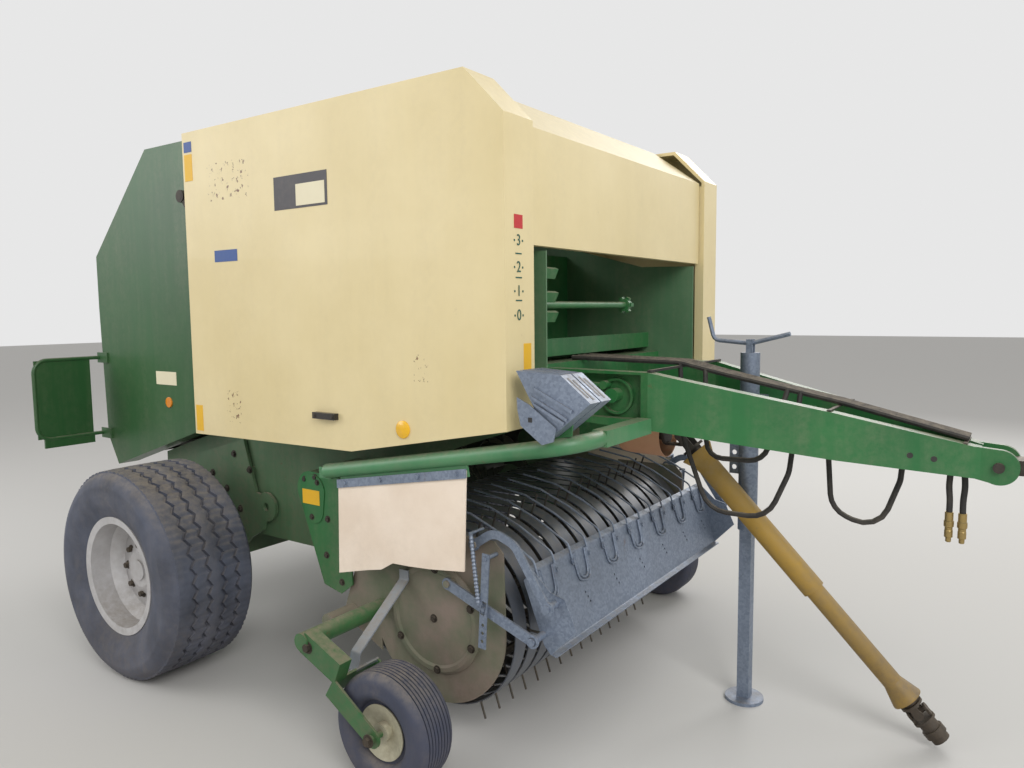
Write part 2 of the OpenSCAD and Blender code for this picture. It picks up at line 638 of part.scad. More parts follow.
// Wind guard over the reel, on two pairs of arms
guard_half = 708;
arm_in = pickup_half + 12;
guard_top = [1730, 654];
guard_low = [1800, 405];
arm_end = [1818, 570];
link_end = [1773, 462];
link_gap = 2;
rod_pitch = 106;
rod_pairs = 7;
rod_r = 4;
module wind_guard() color(zinc) place() {
    difference() {
        sheet_xz(-guard_half, guard_half) strip_2d([[1712, 664], guard_top, guard_low, [1822, 400]], 2, 8);
        for (i = [0 : rod_pairs - 1], k = [0 : 2]) let (y = (i - (rod_pairs - 1) / 2) * 2 * rod_pitch - 14, t = 0.56 + 0.07 * k)
            translate([guard_top[0] + t * (guard_low[0] - guard_top[0]), y + k * 9, guard_top[1] + t * (guard_low[1] - guard_top[1])])
                rotate([0, 74.3, 0]) translate([0, 0, -10]) cylinder(r = 4.5, h = 20);
    }
    both_sides() {
        sheet_xz(guard_half - 4, guard_half) polygon([[1700, 622], [1776, 428], [1800, 402], [1892, 498], [1850, 590],
            [1800, 602], [1735, 658]]);
        bar_y(arm_end[0], arm_end[1], guard_pin_r, -arm_in - 12, -guard_half);
        bar_y(link_end[0], link_end[1], guard_pin_r, -arm_in - 28, -guard_half);
    }
}
guard_slope = unit([guard_low[0] - guard_top[0], 0, guard_low[1] - guard_top[1]]);
guard_normal = [-guard_slope[2], 0, guard_slope[0]];
function on_guard(down, y) = [guard_top[0], y, guard_top[1]] + down * guard_slope + (2.7 + rod_r) * guard_normal;
module guard_rods() color(zinc) place() for (i = [0 : rod_pairs - 1]) let (yc = (i - (rod_pairs - 1) / 2) * 2 * rod_pitch) {
    for (y = [yc - rod_pitch / 2, yc + rod_pitch / 2])
        bent_rod([on_guard(28, y), [guard_top[0] - 4, y, guard_top[1] + 32], [1602, y, 752], [1480, y, 800], [1330, y, 822]],
            rod_r, 26, [0, 1, 0], 2, 6);
    for (k = [0, 1]) bent_rod([on_guard(4, yc - rod_pitch / 2 + 8 + 11 * k), on_guard(100 - 10 * k, yc - rod_pitch / 2 + 16 + 11 * k),
        on_guard(112 - 10 * k, yc + rod_pitch / 2 - 16 - 11 * k), on_guard(4, yc + rod_pitch / 2 - 8 - 11 * k)],
        rod_r, 26, guard_normal, 3, 6);
}
module guard_arms() color(zinc) place() both_sides() sheet_xz(arm_in, arm_in + 8) difference() {
    union() {
        strip_2d([[arm_x, arm_z], [1622, 778], [1700, 748], arm_end], 14, 60);
        translate([arm_x, arm_z]) circle(r = 20);
        translate(arm_end) circle(r = 22);
    }
    translate([arm_x, arm_z]) circle(r = guard_pin_r + 0.05);
    translate(arm_end) circle(r = guard_pin_r + 0.05);
}
module guard_links() color(zinc) place() both_sides() {
    sheet_xz(arm_in + 14, arm_in + 22) difference() {
        union() {
            translate([link_x, link_z]) circle(r = 20);
            translate(link_end) circle(r = 22);
            strip_2d([[link_x, link_z], link_end], 18, 10);
        }
        translate([link_x, link_z]) circle(r = guard_pin_r + 0.05);
        translate(link_end) circle(r = guard_pin_r + link_gap);
    }
    bar_y(1596, 529, 7, -arm_in - 36, -arm_in - 22);
}
// Slotted bars and springs that hold the guard's height
spring_r = 8;
coils = 18;
module guard_stays() color(zinc) place() both_sides() {
    sheet_xz(arm_in + 29, arm_in + 34) difference() {
        strip_2d([[1610, 712], [1589, 400]], 14, 10);
        for (k = [0 : 2]) translate([1594 - k * 2, 478 - k * 27]) circle(r = 6);
        strip_2d([[1592, 511], [1603, 556]], 8.5, 10);
        translate([1609, 697]) circle(r = 7);
    }
    bar_y(1609, 697, 7, -arm_in - 40, -pick_out);
    translate([1556, -arm_in - 39, 772]) rotate([0, 180 - 6.8, 0]) rotate_extrude($fn = small)
        polygon(concat([[0, 0]], [for (k = [0 : 2 * coils]) [spring_r - (k % 2) * 2.5, 4 + k * 216 / (2 * coils)]], [[0, 224]]));
    bar_y(1556, 772, 5, -arm_in - 44, -pick_out);
    bar_y(1583, 548, 5, -arm_in - 44, -arm_in - 26);
}

// Drawbar
bar_rear_x = 1950;
bar_top = [[head_x + 65, 1266], [bar_rear_x, 1262], [2050, 1240], [2500, 1146], [2880, 1056]];
bar_low = [[2880, 964], [2500, 1000], [1975, 1068], [head_x + 65, 1092]];
box_front = 2385;
function bar_half(x) = drawbar_half - (drawbar_half - drawbar_tip_half) * (x - bar_rear_x) / (2880 - bar_rear_x);
arm_wall = 50;
module drawbar_arm() {
    wall = arm_wall;
    intersection() {
        sheet_xz(0, 400) polygon(concat(bar_top, bar_low));
        union() {
            sheet_xy(900, 1300) polygon([[head_x + 65, -drawbar_half], [bar_rear_x, -drawbar_half],
                [2880, -drawbar_tip_half], [2880, -drawbar_tip_half + wall], [bar_rear_x, -drawbar_half + wall],
                [head_x + 65, -drawbar_half + wall]]);
        }
    }
}
module drawbar() color(green) place() {
    both_sides() difference() {
        drawbar_arm();
        // The rear stretch is a channel that opens outwards
        sheet_xz(drawbar_half - 40, drawbar_half + 1) polygon([[head_x + 60, 1104], [1925, 1104], [1925, 1254], [head_x + 60, 1254]]);
    }
    difference() {
        sheet_xy(1010, 1040) polygon([[box_front, -bar_half(box_front) + 50], [2880, -drawbar_tip_half],
            [2880, drawbar_tip_half], [box_front, bar_half(box_front) - 50]]);
    }
    // Clevis at the front end
    both_sides() difference() {
        union() {
            sheet_xz(42, 62) translate([hitch_x, hitch_z]) circle(r = 52);
            sheet_xz(42, 62) polygon([[2860, 966], [hitch_x, hitch_z - 52], [hitch_x, hitch_z + 52], [2860, 1060]]);
        }
        bar_y(hitch_x, hitch_z, 15.05, -80, 0);
    }
    // Nut and boss in the channel of each arm
    both_sides() {
        bar_y(1818, 1180, 24, -drawbar_half - 4, -drawbar_half + 40);
        bar_y(1783, 1214, 15, -drawbar_half + 2, -drawbar_half + 40);
        translate([1640, -drawbar_half + 12, 1214]) rotate([0, 90, 0]) cylinder(r = 9, h = 136);
        sheet_xz(drawbar_half - 40, drawbar_half - 25) difference() {
            translate([1822, 1176]) circle(r = 62);
            translate([1822, 1176]) circle(r = 54);
        }
    }
}

// Towing eye
module towing_eye() color("dimgray") place() {
    difference() {
        union() {
            sheet_xy(hitch_z - 22, hitch_z + 22) translate([hitch_x + eye_reach, 0]) circle(r = eye_outer_r);
            translate([hitch_x - 40, -41.5, hitch_z - 22]) cube([eye_reach, 83, 44]);
        }
        sheet_xy(hitch_z - 30, hitch_z + 30) translate([hitch_x + eye_reach, 0]) circle(r = eye_bore_r);
    }
    bar_y(hitch_x, hitch_z, 15, -74, 74);
}

// Gearbox with its input shaft
shaft_z = 1010;
shaft_r = 17.5;
shaft_end = 1866;
box_x = head_x + head_w / 2;
module gearbox() color(green) place() {
    difference() {
        translate([box_x, -120, 986]) cube([140, 240, 184]);
        translate([box_x + 60, -121, 1170]) rotate([0, 32, 0]) cube([200, 242, 80]);
    }
    translate([box_x + 140, 0, shaft_z]) rotate([0, 90, 0]) cylinder(r = 45, h = 40);
    translate([box_x + 180, 0, shaft_z]) rotate([0, 90, 0]) cylinder(r = shaft_r, h = shaft_end - box_x - 180);
}
module pto_guard_sleeve() color("peru") place() translate([box_x + 140.3, 0, shaft_z]) rotate([0, 90, 0]) rotate_extrude()
    polygon([[45.3, 0], [80, 0], [84, 30], [88, 172], [85, 172], [80, 33], [76, 4], [45.3, 4]]);

// Wrapping gear in the front bay
bay_x = 1650;
bay_z = 1488;
module wrap_unit() color(green) place() {
    bar_y(bay_x, bay_z, 12, -chamber_half, 90);
    for (k = [0 : 5]) translate([bay_x, 0, bay_z]) rotate([0, k * 60, 0]) translate([18, 84, -7]) cube([14, 20, 14]);
    bar_y(bay_x, bay_z, 24, 80, 106);
    // Tray of the bay
    translate([1085, -chamber_half, 1300]) cube([430, 2 * chamber_half, 6]);
    translate([1509, -chamber_half, 1306]) cube([6, 2 * chamber_half, 60]);
    translate([1200, -560, 1306]) cube([250, 330, 98]);
    // Setting levers at the right wall
    for (z = [1577, 1501, 1438]) translate([1690, -chamber_half, z]) rotate([0, 25, 0]) cube([14, 85, 34]);
}

// Guard bows beside the intake, with their slats and the strips that hold the flaps
bow_y = 800;
bow_r = 26;
bow_x = 1940;
bow_z = 1087;
bow_bend = 110;
bow_fall = 10.2;
bow_len = 1045;
slat_rows = [640, 675, 725, 760];
module bow_frame() translate([bow_x, 0, bow_z]) rotate([0, -bow_fall, 0]) children();
module guard_bows() color(green) place() both_sides() {
    translate([bow_x - 25, -bow_y + bow_bend + 40, bow_z - 25]) cube([50, bow_y - bow_bend - drawbar_half - 40, 50]);
    bow_frame() {
        translate([0, -bow_y + bow_bend, 0]) rotate([-90, 0, 0]) cylinder(r = bow_r, h = 60);
        translate([-bow_bend, -bow_y + bow_bend, 0]) rotate([0, 0, -90]) rotate_extrude(angle = 90)
            translate([bow_bend, 0]) circle(r = bow_r);
        translate([-bow_len, -bow_y, 0]) rotate([0, 90, 0]) cylinder(r = bow_r, h = bow_len - bow_bend);
        // Slats and their cross bars
        for (y = slat_rows) translate([-960, -y, 6]) cube([560, 22, 5]);
        for (x = [-940, -430]) translate([x, -bow_y, 0]) cube([24, bow_y - ear_y, 6]);
        translate([-975, -flap_y + 0.3, -62]) cube([582, 6, 45]);
    }
    translate([868, -bow_y, 873]) cube([60, bow_y - ear_y, 40]);
}

// Wheel chocks in their holder
chock_at = [1771, 1298];
chock_w = 56;
chock_gap = 7;
chock_y = 842;
module chock_2d() polygon([[0, 0], [150, -8], [245, -82], [111, -190]]);
// A plate that stands on the bow between the two chocks
module chock_holder() color(green) place()
    sheet_xz(chock_y - chock_w - chock_gap + 0.3, chock_y - chock_w - 0.3) polygon([[1842, 1096], [1922, 1110], [1930, 1180], [1850, 1230]]);
module wheel_chocks() color(zinc) place() for (i = [0, 1])
    translate([chock_at[0], -chock_y + i * (chock_w + chock_gap), chock_at[1]]) rotate([90, 0, 0]) translate([0, 0, -chock_w]) {
        difference() {
            linear_extrude(chock_w) chock_2d();
            translate([0, 0, 4]) linear_extrude(chock_w - 8) polygon([[10, -20], [146, -14], [234, -83], [113, -178], [60, -232], [-60, -60]]);
        }
        for (k = [0 : 2]) translate([18, -3, 8 + k * 16]) rotate([0, 0, -3.8]) cube([120, 5, 8]);
    }

// Belting flaps under the guard bows
flap_y = bow_y + 6;
flap_t = 6;
module side_flaps() color("wheat") place() both_sides()
    sheet_xz(flap_y, flap_y + flap_t) polygon([[981, 875], [1557, 976], [1543, 650], [1400, 632],
        [1310, 625], [1235, 622], [1180, 590], [1110, 575], [971, 540]]);
module flap_clamps() color(zinc) place() both_sides()
    sheet_xz(flap_y + flap_t, flap_y + flap_t + 5) polygon([[978, 851], [978, 881], [1560, 983], [1560, 953]]);

// Jack
leg_w = 44;
jack_low = 655;
jack_top = 1310;
crank_z = 1343;
bracket_x = 70;
function arm_face(x) = bar_half(x) - arm_wall;
module jack_sleeve() color(zinc) place() {
    translate([jack_x, jack_y, 0]) {
        difference() {
            translate([0, 0, jack_low]) cylinder(r = jack_tube_r + 3.5, h = jack_top - jack_low);
            translate([-leg_w / 2 - 0.3, -leg_w / 2 - 0.3, jack_low - 1]) cube([leg_w + 0.6, leg_w + 0.6, 620]);
        }
        // Head with the crank
        for (s = [-1, 1]) translate([-12, s * 12 - 3, jack_top]) cube([24, 6, 48]);
        rod([0, -18, crank_z], [0, 18, crank_z], 6);
        bent_rod([[140, 0, crank_z + 36], [0, 0, crank_z], [-136, 0, crank_z + 12], [-158, 0, crank_z + 96]], 8, 26, [0, 1, 0], 3);
    }
    // Bracket to the left arm
    difference() {
        sheet_xy(1060, 1150) polygon([[jack_x - bracket_x, jack_y + 10], [jack_x - bracket_x, arm_face(jack_x - bracket_x)],
            [jack_x + 40, arm_face(jack_x + 40)], [jack_x + 40, jack_y + 10]]);
        translate([jack_x, jack_y, 1050]) cylinder(r = jack_tube_r + 2, h = 110);
    }
    // Perforated plate beside the tube
    difference() {
        translate([jack_x - bracket_x, jack_y - 3, 860]) cube([bracket_x - jack_tube_r + 2, 6, 290]);
        for (z = [885, 940, 1000]) translate([jack_x - 52, jack_y + 10, z]) rotate([90, 0, 0]) cylinder(r = 9, h = 20);
    }
}
module jack_leg() color(zinc) place() translate([jack_x, jack_y, 0]) {
    translate([-leg_w / 2, -leg_w / 2, 12]) cube([leg_w, leg_w, 850]);
    cylinder(r = 70, h = 12);
}

// Hoses along the drawbar, with the loops that hang between their clips
hose_r = 9;
hose_x = [1530, 1950, 2100, 2480, 2846];
module hose_bundle() color(dark) place() {
    // Clips across the drawbar's arms
    for (c = [[1950, 1262.3, 1270.2, 330], [2480, 1151.9, 1155.3, 175], [2840, 1067.3, 1068.8, 70]])
        translate([c[0] - 6, -c[3], c[1]]) cube([12, 2 * c[3], c[2] - c[1]]);
    for (i = [0 : 3]) bent_rod([[hose_x[0], -110 + i * 45, 1290.3], [hose_x[1], -70 + i * 32, 1280], [hose_x[2], -54 + i * 26, 1245],
        [hose_x[3], -30 + i * 20, 1166], [hose_x[4], -30 + i * 20, 1078]], hose_r, 150, [0, 1, 0]);
    bent_rod([[1950, -70, 1280], [1980, -100, 1010], [2075, -110, 770], [2280, -110, 770], [2345, -100, 930], [2360, -38, 1194]],
        hose_r, 95, [0, 1, 0]);
    bent_rod([[2040, -60, 1259], [2075, -130, 960], [2270, -130, 965], [2320, -40, 1202]], hose_r, 60, [0, 1, 0]);
    bent_rod([[2440, 10, 1008.9], [2455, 10, 800], [2600, 10, 745], [2660, 10, 920], [2668, 10, 1008.9]], hose_r, 80, [0, 1, 0]);
}
// Free hoses with their couplings, which hang under the front of the drawbar
hose_rear_route = [[2800, 0, 1009.7], [2800, 0, 975], [2797, 0, 925], [2800, 0, 880], [2800, 0, 842.3]];
hose_front_route = [[2836, 0, 1009.7], [2836, 0, 975], [2839, 0, 925], [2836, 0, 880], [2836, 0, 842.3]];
module free_hose_rear() color(dark) place() bent_rod(hose_rear_route, hose_r, 200, [0, 1, 0], 2);
module free_hose_front() color(dark) place() bent_rod(hose_front_route, hose_r, 200, [0, 1, 0], 2);
plug_r = 11.9;
module coupling() rotate([180, 0, 0]) rotate_extrude()
    polygon([[0, 0], [12, 0], [12, 26], [14, 28], [14, 44], [11, 48], [11, 56], [plug_r, 58], [plug_r, 78], [8, 80], [8, 92], [6, 94], [0, 94]]);
module coupling_rear() color("goldenrod") place() translate([2800, 0, 842]) coupling();
module coupling_front() color("goldenrod") place() translate([2836, 0, 842]) coupling();

// Lift cylinders of the tailgate, beside the chamber under the covers
lift_y = 745;
lift_foot = [600, 1200];
lift_head = [20, 1960];
lift_pin_r = 15;
lift_len = norm(lift_head - lift_foot);
lift_turn = atan2(lift_head[1] - lift_foot[1], lift_head[0] - lift_foot[0]);
// Local X runs from the foot pin to the head
module lift_frame() place() both_sides() translate([lift_foot[0], -lift_y, lift_foot[1]]) rotate([0, -lift_turn, 0]) children();
module lift_barrels() color(dark) lift_frame() difference() {
    union() {
        rotate([0, 90, 0]) cylinder(r = 34, h = lift_len - 330);
        translate([0, 18, 0]) rotate([90, 0, 0]) cylinder(r = 28, h = 36);
    }
    translate([0, 45, 0]) rotate([90, 0, 0]) cylinder(r = lift_pin_r + 0.05, h = 90);
    translate([150, 0, 0]) rotate([0, 90, 0]) cylinder(r = lift_rod_r + 0.05, h = lift_len);
}
lift_rod_r = 16;
module lift_rods() color(zinc) lift_frame() {
    translate([160, 0, 0]) rotate([0, 90, 0]) cylinder(r = lift_rod_r, h = lift_len - 180);
    difference() {
        translate([lift_len, 18, 0]) rotate([90, 0, 0]) cylinder(r = 26, h = 36);
        translate([lift_len, 19, 0]) rotate([90, 0, 0]) cylinder(r = lift_pin_r, h = 38);
    }
    translate([lift_len, lift_y - tail_half - 0.5, 0]) rotate([90, 0, 0]) cylinder(r = lift_pin_r, h = lift_y - tail_half + 18);
}

// Drive shaft, which lies with its front end on the floor
pto_x = 1930;
pto_end = [2793, 155, 32];
pto_len = norm(pto_end - [pto_x, 0, shaft_z]);
pto_yaw = atan2(pto_end[1], pto_end[0] - pto_x);
pto_pitch = acos((shaft_z - pto_end[2]) / pto_len);
cross_r = 11;
ear_in = 34;
ear_out = 42;
module pto_frame() translate([pto_x, 0, shaft_z]) rotate([0, 0, pto_yaw]) rotate([0, 180 - pto_pitch, 0]) children();
// Two ears of a yoke across local Y, from their pin to a flange at the distance reach
module yoke_ears(reach, bore) for (s = [-1, 1]) difference() {
    translate([0, s * (ear_in + ear_out) / 2 + 4, 0]) rotate([90, 0, 0]) linear_extrude(ear_out - ear_in) {
        circle(r = 18);
        translate([-16, 0]) square([32, reach]);
    }
    if (bore) translate([0, 60, 0]) rotate([90, 0, 0]) cylinder(r = cross_r + 0.05, h = 120);
}
module pto_joint() color("dimgray") place() {
    difference() {
        translate([shaft_end - 20, 0, shaft_z]) rotate([0, 90, 0]) cylinder(r = 27, h = 20);
        translate([shaft_end - 21, 0, shaft_z]) rotate([0, 90, 0]) cylinder(r = shaft_r + 0.05, h = 21);
    }
    translate([shaft_end, 0, shaft_z]) rotate([0, 90, 0]) cylinder(r = ear_out, h = 10);
    translate([pto_x, 0, shaft_z]) rotate([0, -90, 0]) rotate([0, 0, 90]) yoke_ears(pto_x - shaft_end - 5, false);
    translate([pto_x, 0, shaft_z - ear_out]) cylinder(r = cross_r, h = 2 * ear_out);
    pto_frame() rotate([90, 0, 0]) translate([0, 0, -ear_out]) cylinder(r = cross_r, h = 2 * ear_out);
}
module pto_rear_yoke() color("dimgray") place() pto_frame() {
    yoke_ears(60, true);
    translate([0, 0, 58]) cylinder(r = ear_out, h = 10);
    translate([0, 0, 66]) cylinder(r = 26, h = 64);
    translate([0, 0, 130]) cylinder(r = 14, h = 540);
}
guard_end = 700;
module pto_rear_half() color("gold") place() pto_frame() rotate_extrude()
    polygon([[26.3, 86], [62, 80], [62, 84], [45, 120], [40, 150], [40, guard_end], [33.5, guard_end], [33.5, 150], [26.3, 120]]);
front_yoke_z = pto_len - 150;
module pto_front_half() color("gold") place() pto_frame() rotate_extrude()
    polygon([[20, 450], [32.5, 450], [32.5, front_yoke_z - 80], [52, front_yoke_z - 14], [52, front_yoke_z - 10],
        [26.3, front_yoke_z - 16], [26.3, front_yoke_z - 40], [20, front_yoke_z - 60]]);
yoke_bore_r = 17.46;
yoke_bore_len = 62;
module pto_front_yoke() color("dimgray") place() pto_frame() {
    translate([0, 0, front_yoke_z - 40]) cylinder(r = 26, h = 52);
    translate([0, 0, front_yoke_z + 6]) cylinder(r = 38, h = 8);
    // Joint in line with the shaft
    translate([0, 0, front_yoke_z + 40]) {
        for (s = [-1, 1]) translate([0, s * 30 + 4, 0]) rotate([90, 0, 0]) linear_extrude(8) {
            circle(r = 16);
            translate([-13, -28]) square([26, 28]);
        }
        for (s = [-1, 1]) translate([s * 30 - 4, 0, 0]) rotate([90, 0, 90]) linear_extrude(8) {
            circle(r = 16);
            translate([-13, 0]) square([26, 28]);
        }
        rotate([90, 0, 0]) translate([0, 0, -34]) cylinder(r = 10, h = 68);
        rotate([0, 90, 0]) translate([0, 0, -34]) cylinder(r = 10, h = 68);
    }
    difference() {
        union() {
            translate([0, 0, front_yoke_z + 66]) cylinder(r = 38, h = 8);
            translate([0, 0, front_yoke_z + 72]) cylinder(r = 30, h = 150 - 72 - 1);
            translate([0, 0, front_yoke_z + 104]) cylinder(r = 36, h = 24);
        }
        translate([0, 0, pto_len - 1 - yoke_bore_len]) cylinder(r = yoke_bore_r, h = yoke_bore_len + 1);
    }
}

chamber_side_plates();
chamber_cross_members();
front_press_rollers();
feed_rotor();
axle_beam();
intake_side_boxes();
drawbar();
towing_eye();
gearbox();
pto_guard_sleeve();
wrap_unit();
guard_bows();
chock_holder();
wheel_chocks();
side_flaps();
flap_clamps();
jack_sleeve();
jack_leg();
hose_bundle();
free_hose_rear();
free_hose_front();
coupling_rear();
coupling_front();
tailgate_sides();
tailgate_rollers();
tailgate_frame();
light_carriers();
rear_lamps();
side_cover_right();
side_cover_left();
front_hood();
tyre_right();
rim_right();
tyre_left();
rim_left();
pickup_side_plates();
stripper_bands();
tine_reel();
gauge_arms();
gauge_tyre_right();
gauge_rim_right();
gauge_tyre_left();
gauge_rim_left();
wind_guard();
guard_rods();
guard_arms();
guard_links();
guard_stays();
lift_barrels();
lift_rods();
pto_joint();
pto_rear_yoke();
pto_rear_half();
pto_front_half();
pto_front_yoke();
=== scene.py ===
"""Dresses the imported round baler: finishes, two free hoses, tread, fasteners and small trim.

Places are given as in the part's own source, in millimetres with X counted from the axle, and
spot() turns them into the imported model's frame in metres. The camera and the cords come first,
then one class for each sub-assembly of the machine.
"""

import json
import logging
import math
from dataclasses import dataclass
from enum import Enum
from typing import Iterable, Sequence

import bmesh
import bpy
from mathutils import Matrix, Vector

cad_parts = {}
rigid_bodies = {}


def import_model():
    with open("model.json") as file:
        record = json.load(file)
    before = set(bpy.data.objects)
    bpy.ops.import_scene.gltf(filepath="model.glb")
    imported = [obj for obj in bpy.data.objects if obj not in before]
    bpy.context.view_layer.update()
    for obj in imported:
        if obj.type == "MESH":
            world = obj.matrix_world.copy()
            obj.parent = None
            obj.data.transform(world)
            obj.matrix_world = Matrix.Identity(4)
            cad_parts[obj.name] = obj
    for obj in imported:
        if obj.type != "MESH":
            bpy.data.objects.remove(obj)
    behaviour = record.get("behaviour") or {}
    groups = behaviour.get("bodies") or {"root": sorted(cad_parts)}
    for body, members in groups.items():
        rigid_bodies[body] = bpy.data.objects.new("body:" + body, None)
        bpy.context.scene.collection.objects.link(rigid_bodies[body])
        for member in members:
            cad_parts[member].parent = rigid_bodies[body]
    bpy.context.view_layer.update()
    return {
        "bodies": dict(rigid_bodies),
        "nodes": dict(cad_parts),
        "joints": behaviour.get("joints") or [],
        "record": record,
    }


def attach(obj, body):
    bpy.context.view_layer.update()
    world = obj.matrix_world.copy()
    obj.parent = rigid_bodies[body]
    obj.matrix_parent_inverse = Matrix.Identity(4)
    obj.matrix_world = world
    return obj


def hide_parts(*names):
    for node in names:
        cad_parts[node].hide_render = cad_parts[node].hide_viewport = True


LOG = logging.getLogger("baler")
MIDDLE_X = 1122.5
HANDS = {-1: "right", 1: "left"}
Point = Sequence[float]
Material = bpy.types.Material
Node = bpy.types.Node
NodeTree = bpy.types.NodeTree
Piece = bpy.types.Object
Socket = bpy.types.NodeSocket


def spot(x: float, y: float, z: float) -> Vector:
    """Turns a place on the machine into the model's frame.

    Args:
        x: millimetres ahead of the axle.
        y: millimetres to the machine's left.
        z: millimetres over the floor.

    Returns:
        The same place in metres.
    """
    return Vector((x - MIDDLE_X, y, z)) / 1000


def outward(side: int) -> Vector:
    """The direction away from the machine's middle on one of its sides."""
    return Vector((0, side, 0))


class Graph:
    """A short way to write a material's nodes."""

    def __init__(self, name: str) -> None:
        """Starts a material with one Principled shader."""
        self.material = bpy.data.materials.new(name)
        self.material.use_nodes = True
        self.tree = self.material.node_tree
        self.shader = self.tree.nodes["Principled BSDF"]
        self.place = self.tree.nodes.new("ShaderNodeTexCoord").outputs["Object"]

    def node(self, kind: str, **settings: object) -> Node:
        """Adds a node and sets its properties.

        Args:
            kind: the node's type name.
            settings: its properties by name.

        Returns:
            The new node.
        """
        made = self.tree.nodes.new(kind)
        for key, value in settings.items():
            setattr(made, key, value)
        return made

    def feed(self, socket: Socket, value: object) -> None:
        """Links a socket to another one, or sets its plain value."""
        if isinstance(value, Socket):
            self.tree.links.new(value, socket)
        else:
            socket.default_value = value

    def stretch(self, scale: Point) -> Socket:
        """Scales the object's coordinates along each axis."""
        made = self.node("ShaderNodeMapping")
        self.feed(made.inputs["Vector"], self.place)
        made.inputs["Scale"].default_value = scale
        return made.outputs["Vector"]

    def noise(self, scale: float, detail: float = 6, rough: float = 0.6,
              place: Socket | None = None) -> Socket:
        """Adds a noise pattern and returns its value."""
        made = self.node("ShaderNodeTexNoise")
        self.feed(made.inputs["Vector"], place or self.place)
        made.inputs["Scale"].default_value = scale
        made.inputs["Detail"].default_value = detail
        made.inputs["Roughness"].default_value = rough
        return made.outputs["Fac"]

    def cells(self, scale: float) -> Socket:
        """Adds a cell pattern and returns the cells' random colour."""
        made = self.node("ShaderNodeTexVoronoi")
        self.feed(made.inputs["Vector"], self.place)
        made.inputs["Scale"].default_value = scale
        return made.outputs["Color"]

    def spread(self, value: Socket, low: float, high: float,
               top: float = 1.0) -> Socket:
        """Maps low to high onto 0 to top, with nothing outside that."""
        made = self.node("ShaderNodeMapRange", clamp=True)
        self.feed(made.inputs["Value"], value)
        made.inputs["From Min"].default_value = low
        made.inputs["From Max"].default_value = high
        made.inputs["To Max"].default_value = top
        return made.outputs["Result"]

    def maths(self, kind: str, a: object, b: object) -> Socket:
        """Works out a and b with one Math node, held between 0 and 1."""
        made = self.node("ShaderNodeMath", operation=kind, use_clamp=True)
        self.feed(made.inputs[0], a)
        self.feed(made.inputs[1], b)
        return made.outputs[0]

    def mix(self, share: object, a: object, b: object) -> Socket:
        """Mixes two colours."""
        made = self.node("ShaderNodeMix", data_type="RGBA")
        self.feed(made.inputs[0], share)
        self.feed(made.inputs[6], a)
        self.feed(made.inputs[7], b)
        return made.outputs[2]

    def height(self) -> Socket:
        """Returns the height over the floor in metres."""
        made = self.node("ShaderNodeSeparateXYZ")
        self.feed(made.inputs[0], self.place)
        return made.outputs["Z"]

    def inside(self, low: Point, high: Point) -> Socket:
        """Gives 1 inside a box of the machine, on both of its sides, and 0 outside.

        Args:
            low: the box's lowest corner in millimetres, with Y counted from the machine's middle.
            high: its highest corner.

        Returns:
            The value's socket.
        """
        split = self.node("ShaderNodeSeparateXYZ")
        self.feed(split.inputs[0], self.place)
        across = self.node("ShaderNodeMath", operation="ABSOLUTE")
        self.feed(across.inputs[0], split.outputs["Y"])
        lowest, highest = spot(*low), spot(*high)
        both = 1.0
        for axis, value in enumerate((split.outputs["X"], across.outputs[0], split.outputs["Z"])):
            near = self.node("ShaderNodeMath", operation="COMPARE")
            self.feed(near.inputs[0], value)
            near.inputs[1].default_value = (lowest[axis] + highest[axis]) / 2
            near.inputs[2].default_value = (highest[axis] - lowest[axis]) / 2
            both = self.maths("MULTIPLY", both, near.outputs[0])
        return both

    def upward(self) -> Socket:
        """Returns how far the surface faces up, from -1 to 1."""
        made = self.node("ShaderNodeSeparateXYZ")
        self.feed(made.inputs[0], self.node("ShaderNodeNewGeometry").outputs["Normal"])
        return made.outputs["Z"]

    def bump(self, height: Socket, depth: float) -> None:
        """Gives the shader a bump of that depth in metres."""
        made = self.node("ShaderNodeBump")
        self.feed(made.inputs["Height"], height)
        made.inputs["Strength"].default_value = 0.6
        made.inputs["Distance"].default_value = depth
        self.feed(self.shader.inputs["Normal"], made.outputs["Normal"])


def tone(red: float, green: float, blue: float) -> tuple[float, float, float, float]:
    """A colour written as it shows on a screen, from 0 to 255, as the renderer takes it."""
    parts = [value / 255 for value in (red, green, blue)]
    return (*(p / 12.92 if p <= 0.04045 else ((p + 0.055) / 1.055) ** 2.4 for p in parts), 1.0)


DUST = tone(158, 146, 128)
MUD = tone(96, 80, 62)
RUST = tone(104, 62, 38)
SPECKLE_SCALE = 38
STREAK_STRETCH = (9, 9, 0.8)
WORN_SCALE = 7.5
WORN_FROM, WORN_TO = 0.66, 0.70
SPOT_SCALE = 46
SPOT_FROM, SPOT_TO = 0.57, 0.61


@dataclass(frozen=True)
class Accent:
    """A box of the machine in which a finish has another tone, whole or in worn spots."""

    low: tuple
    high: tuple
    colour: tuple
    spots: bool = False


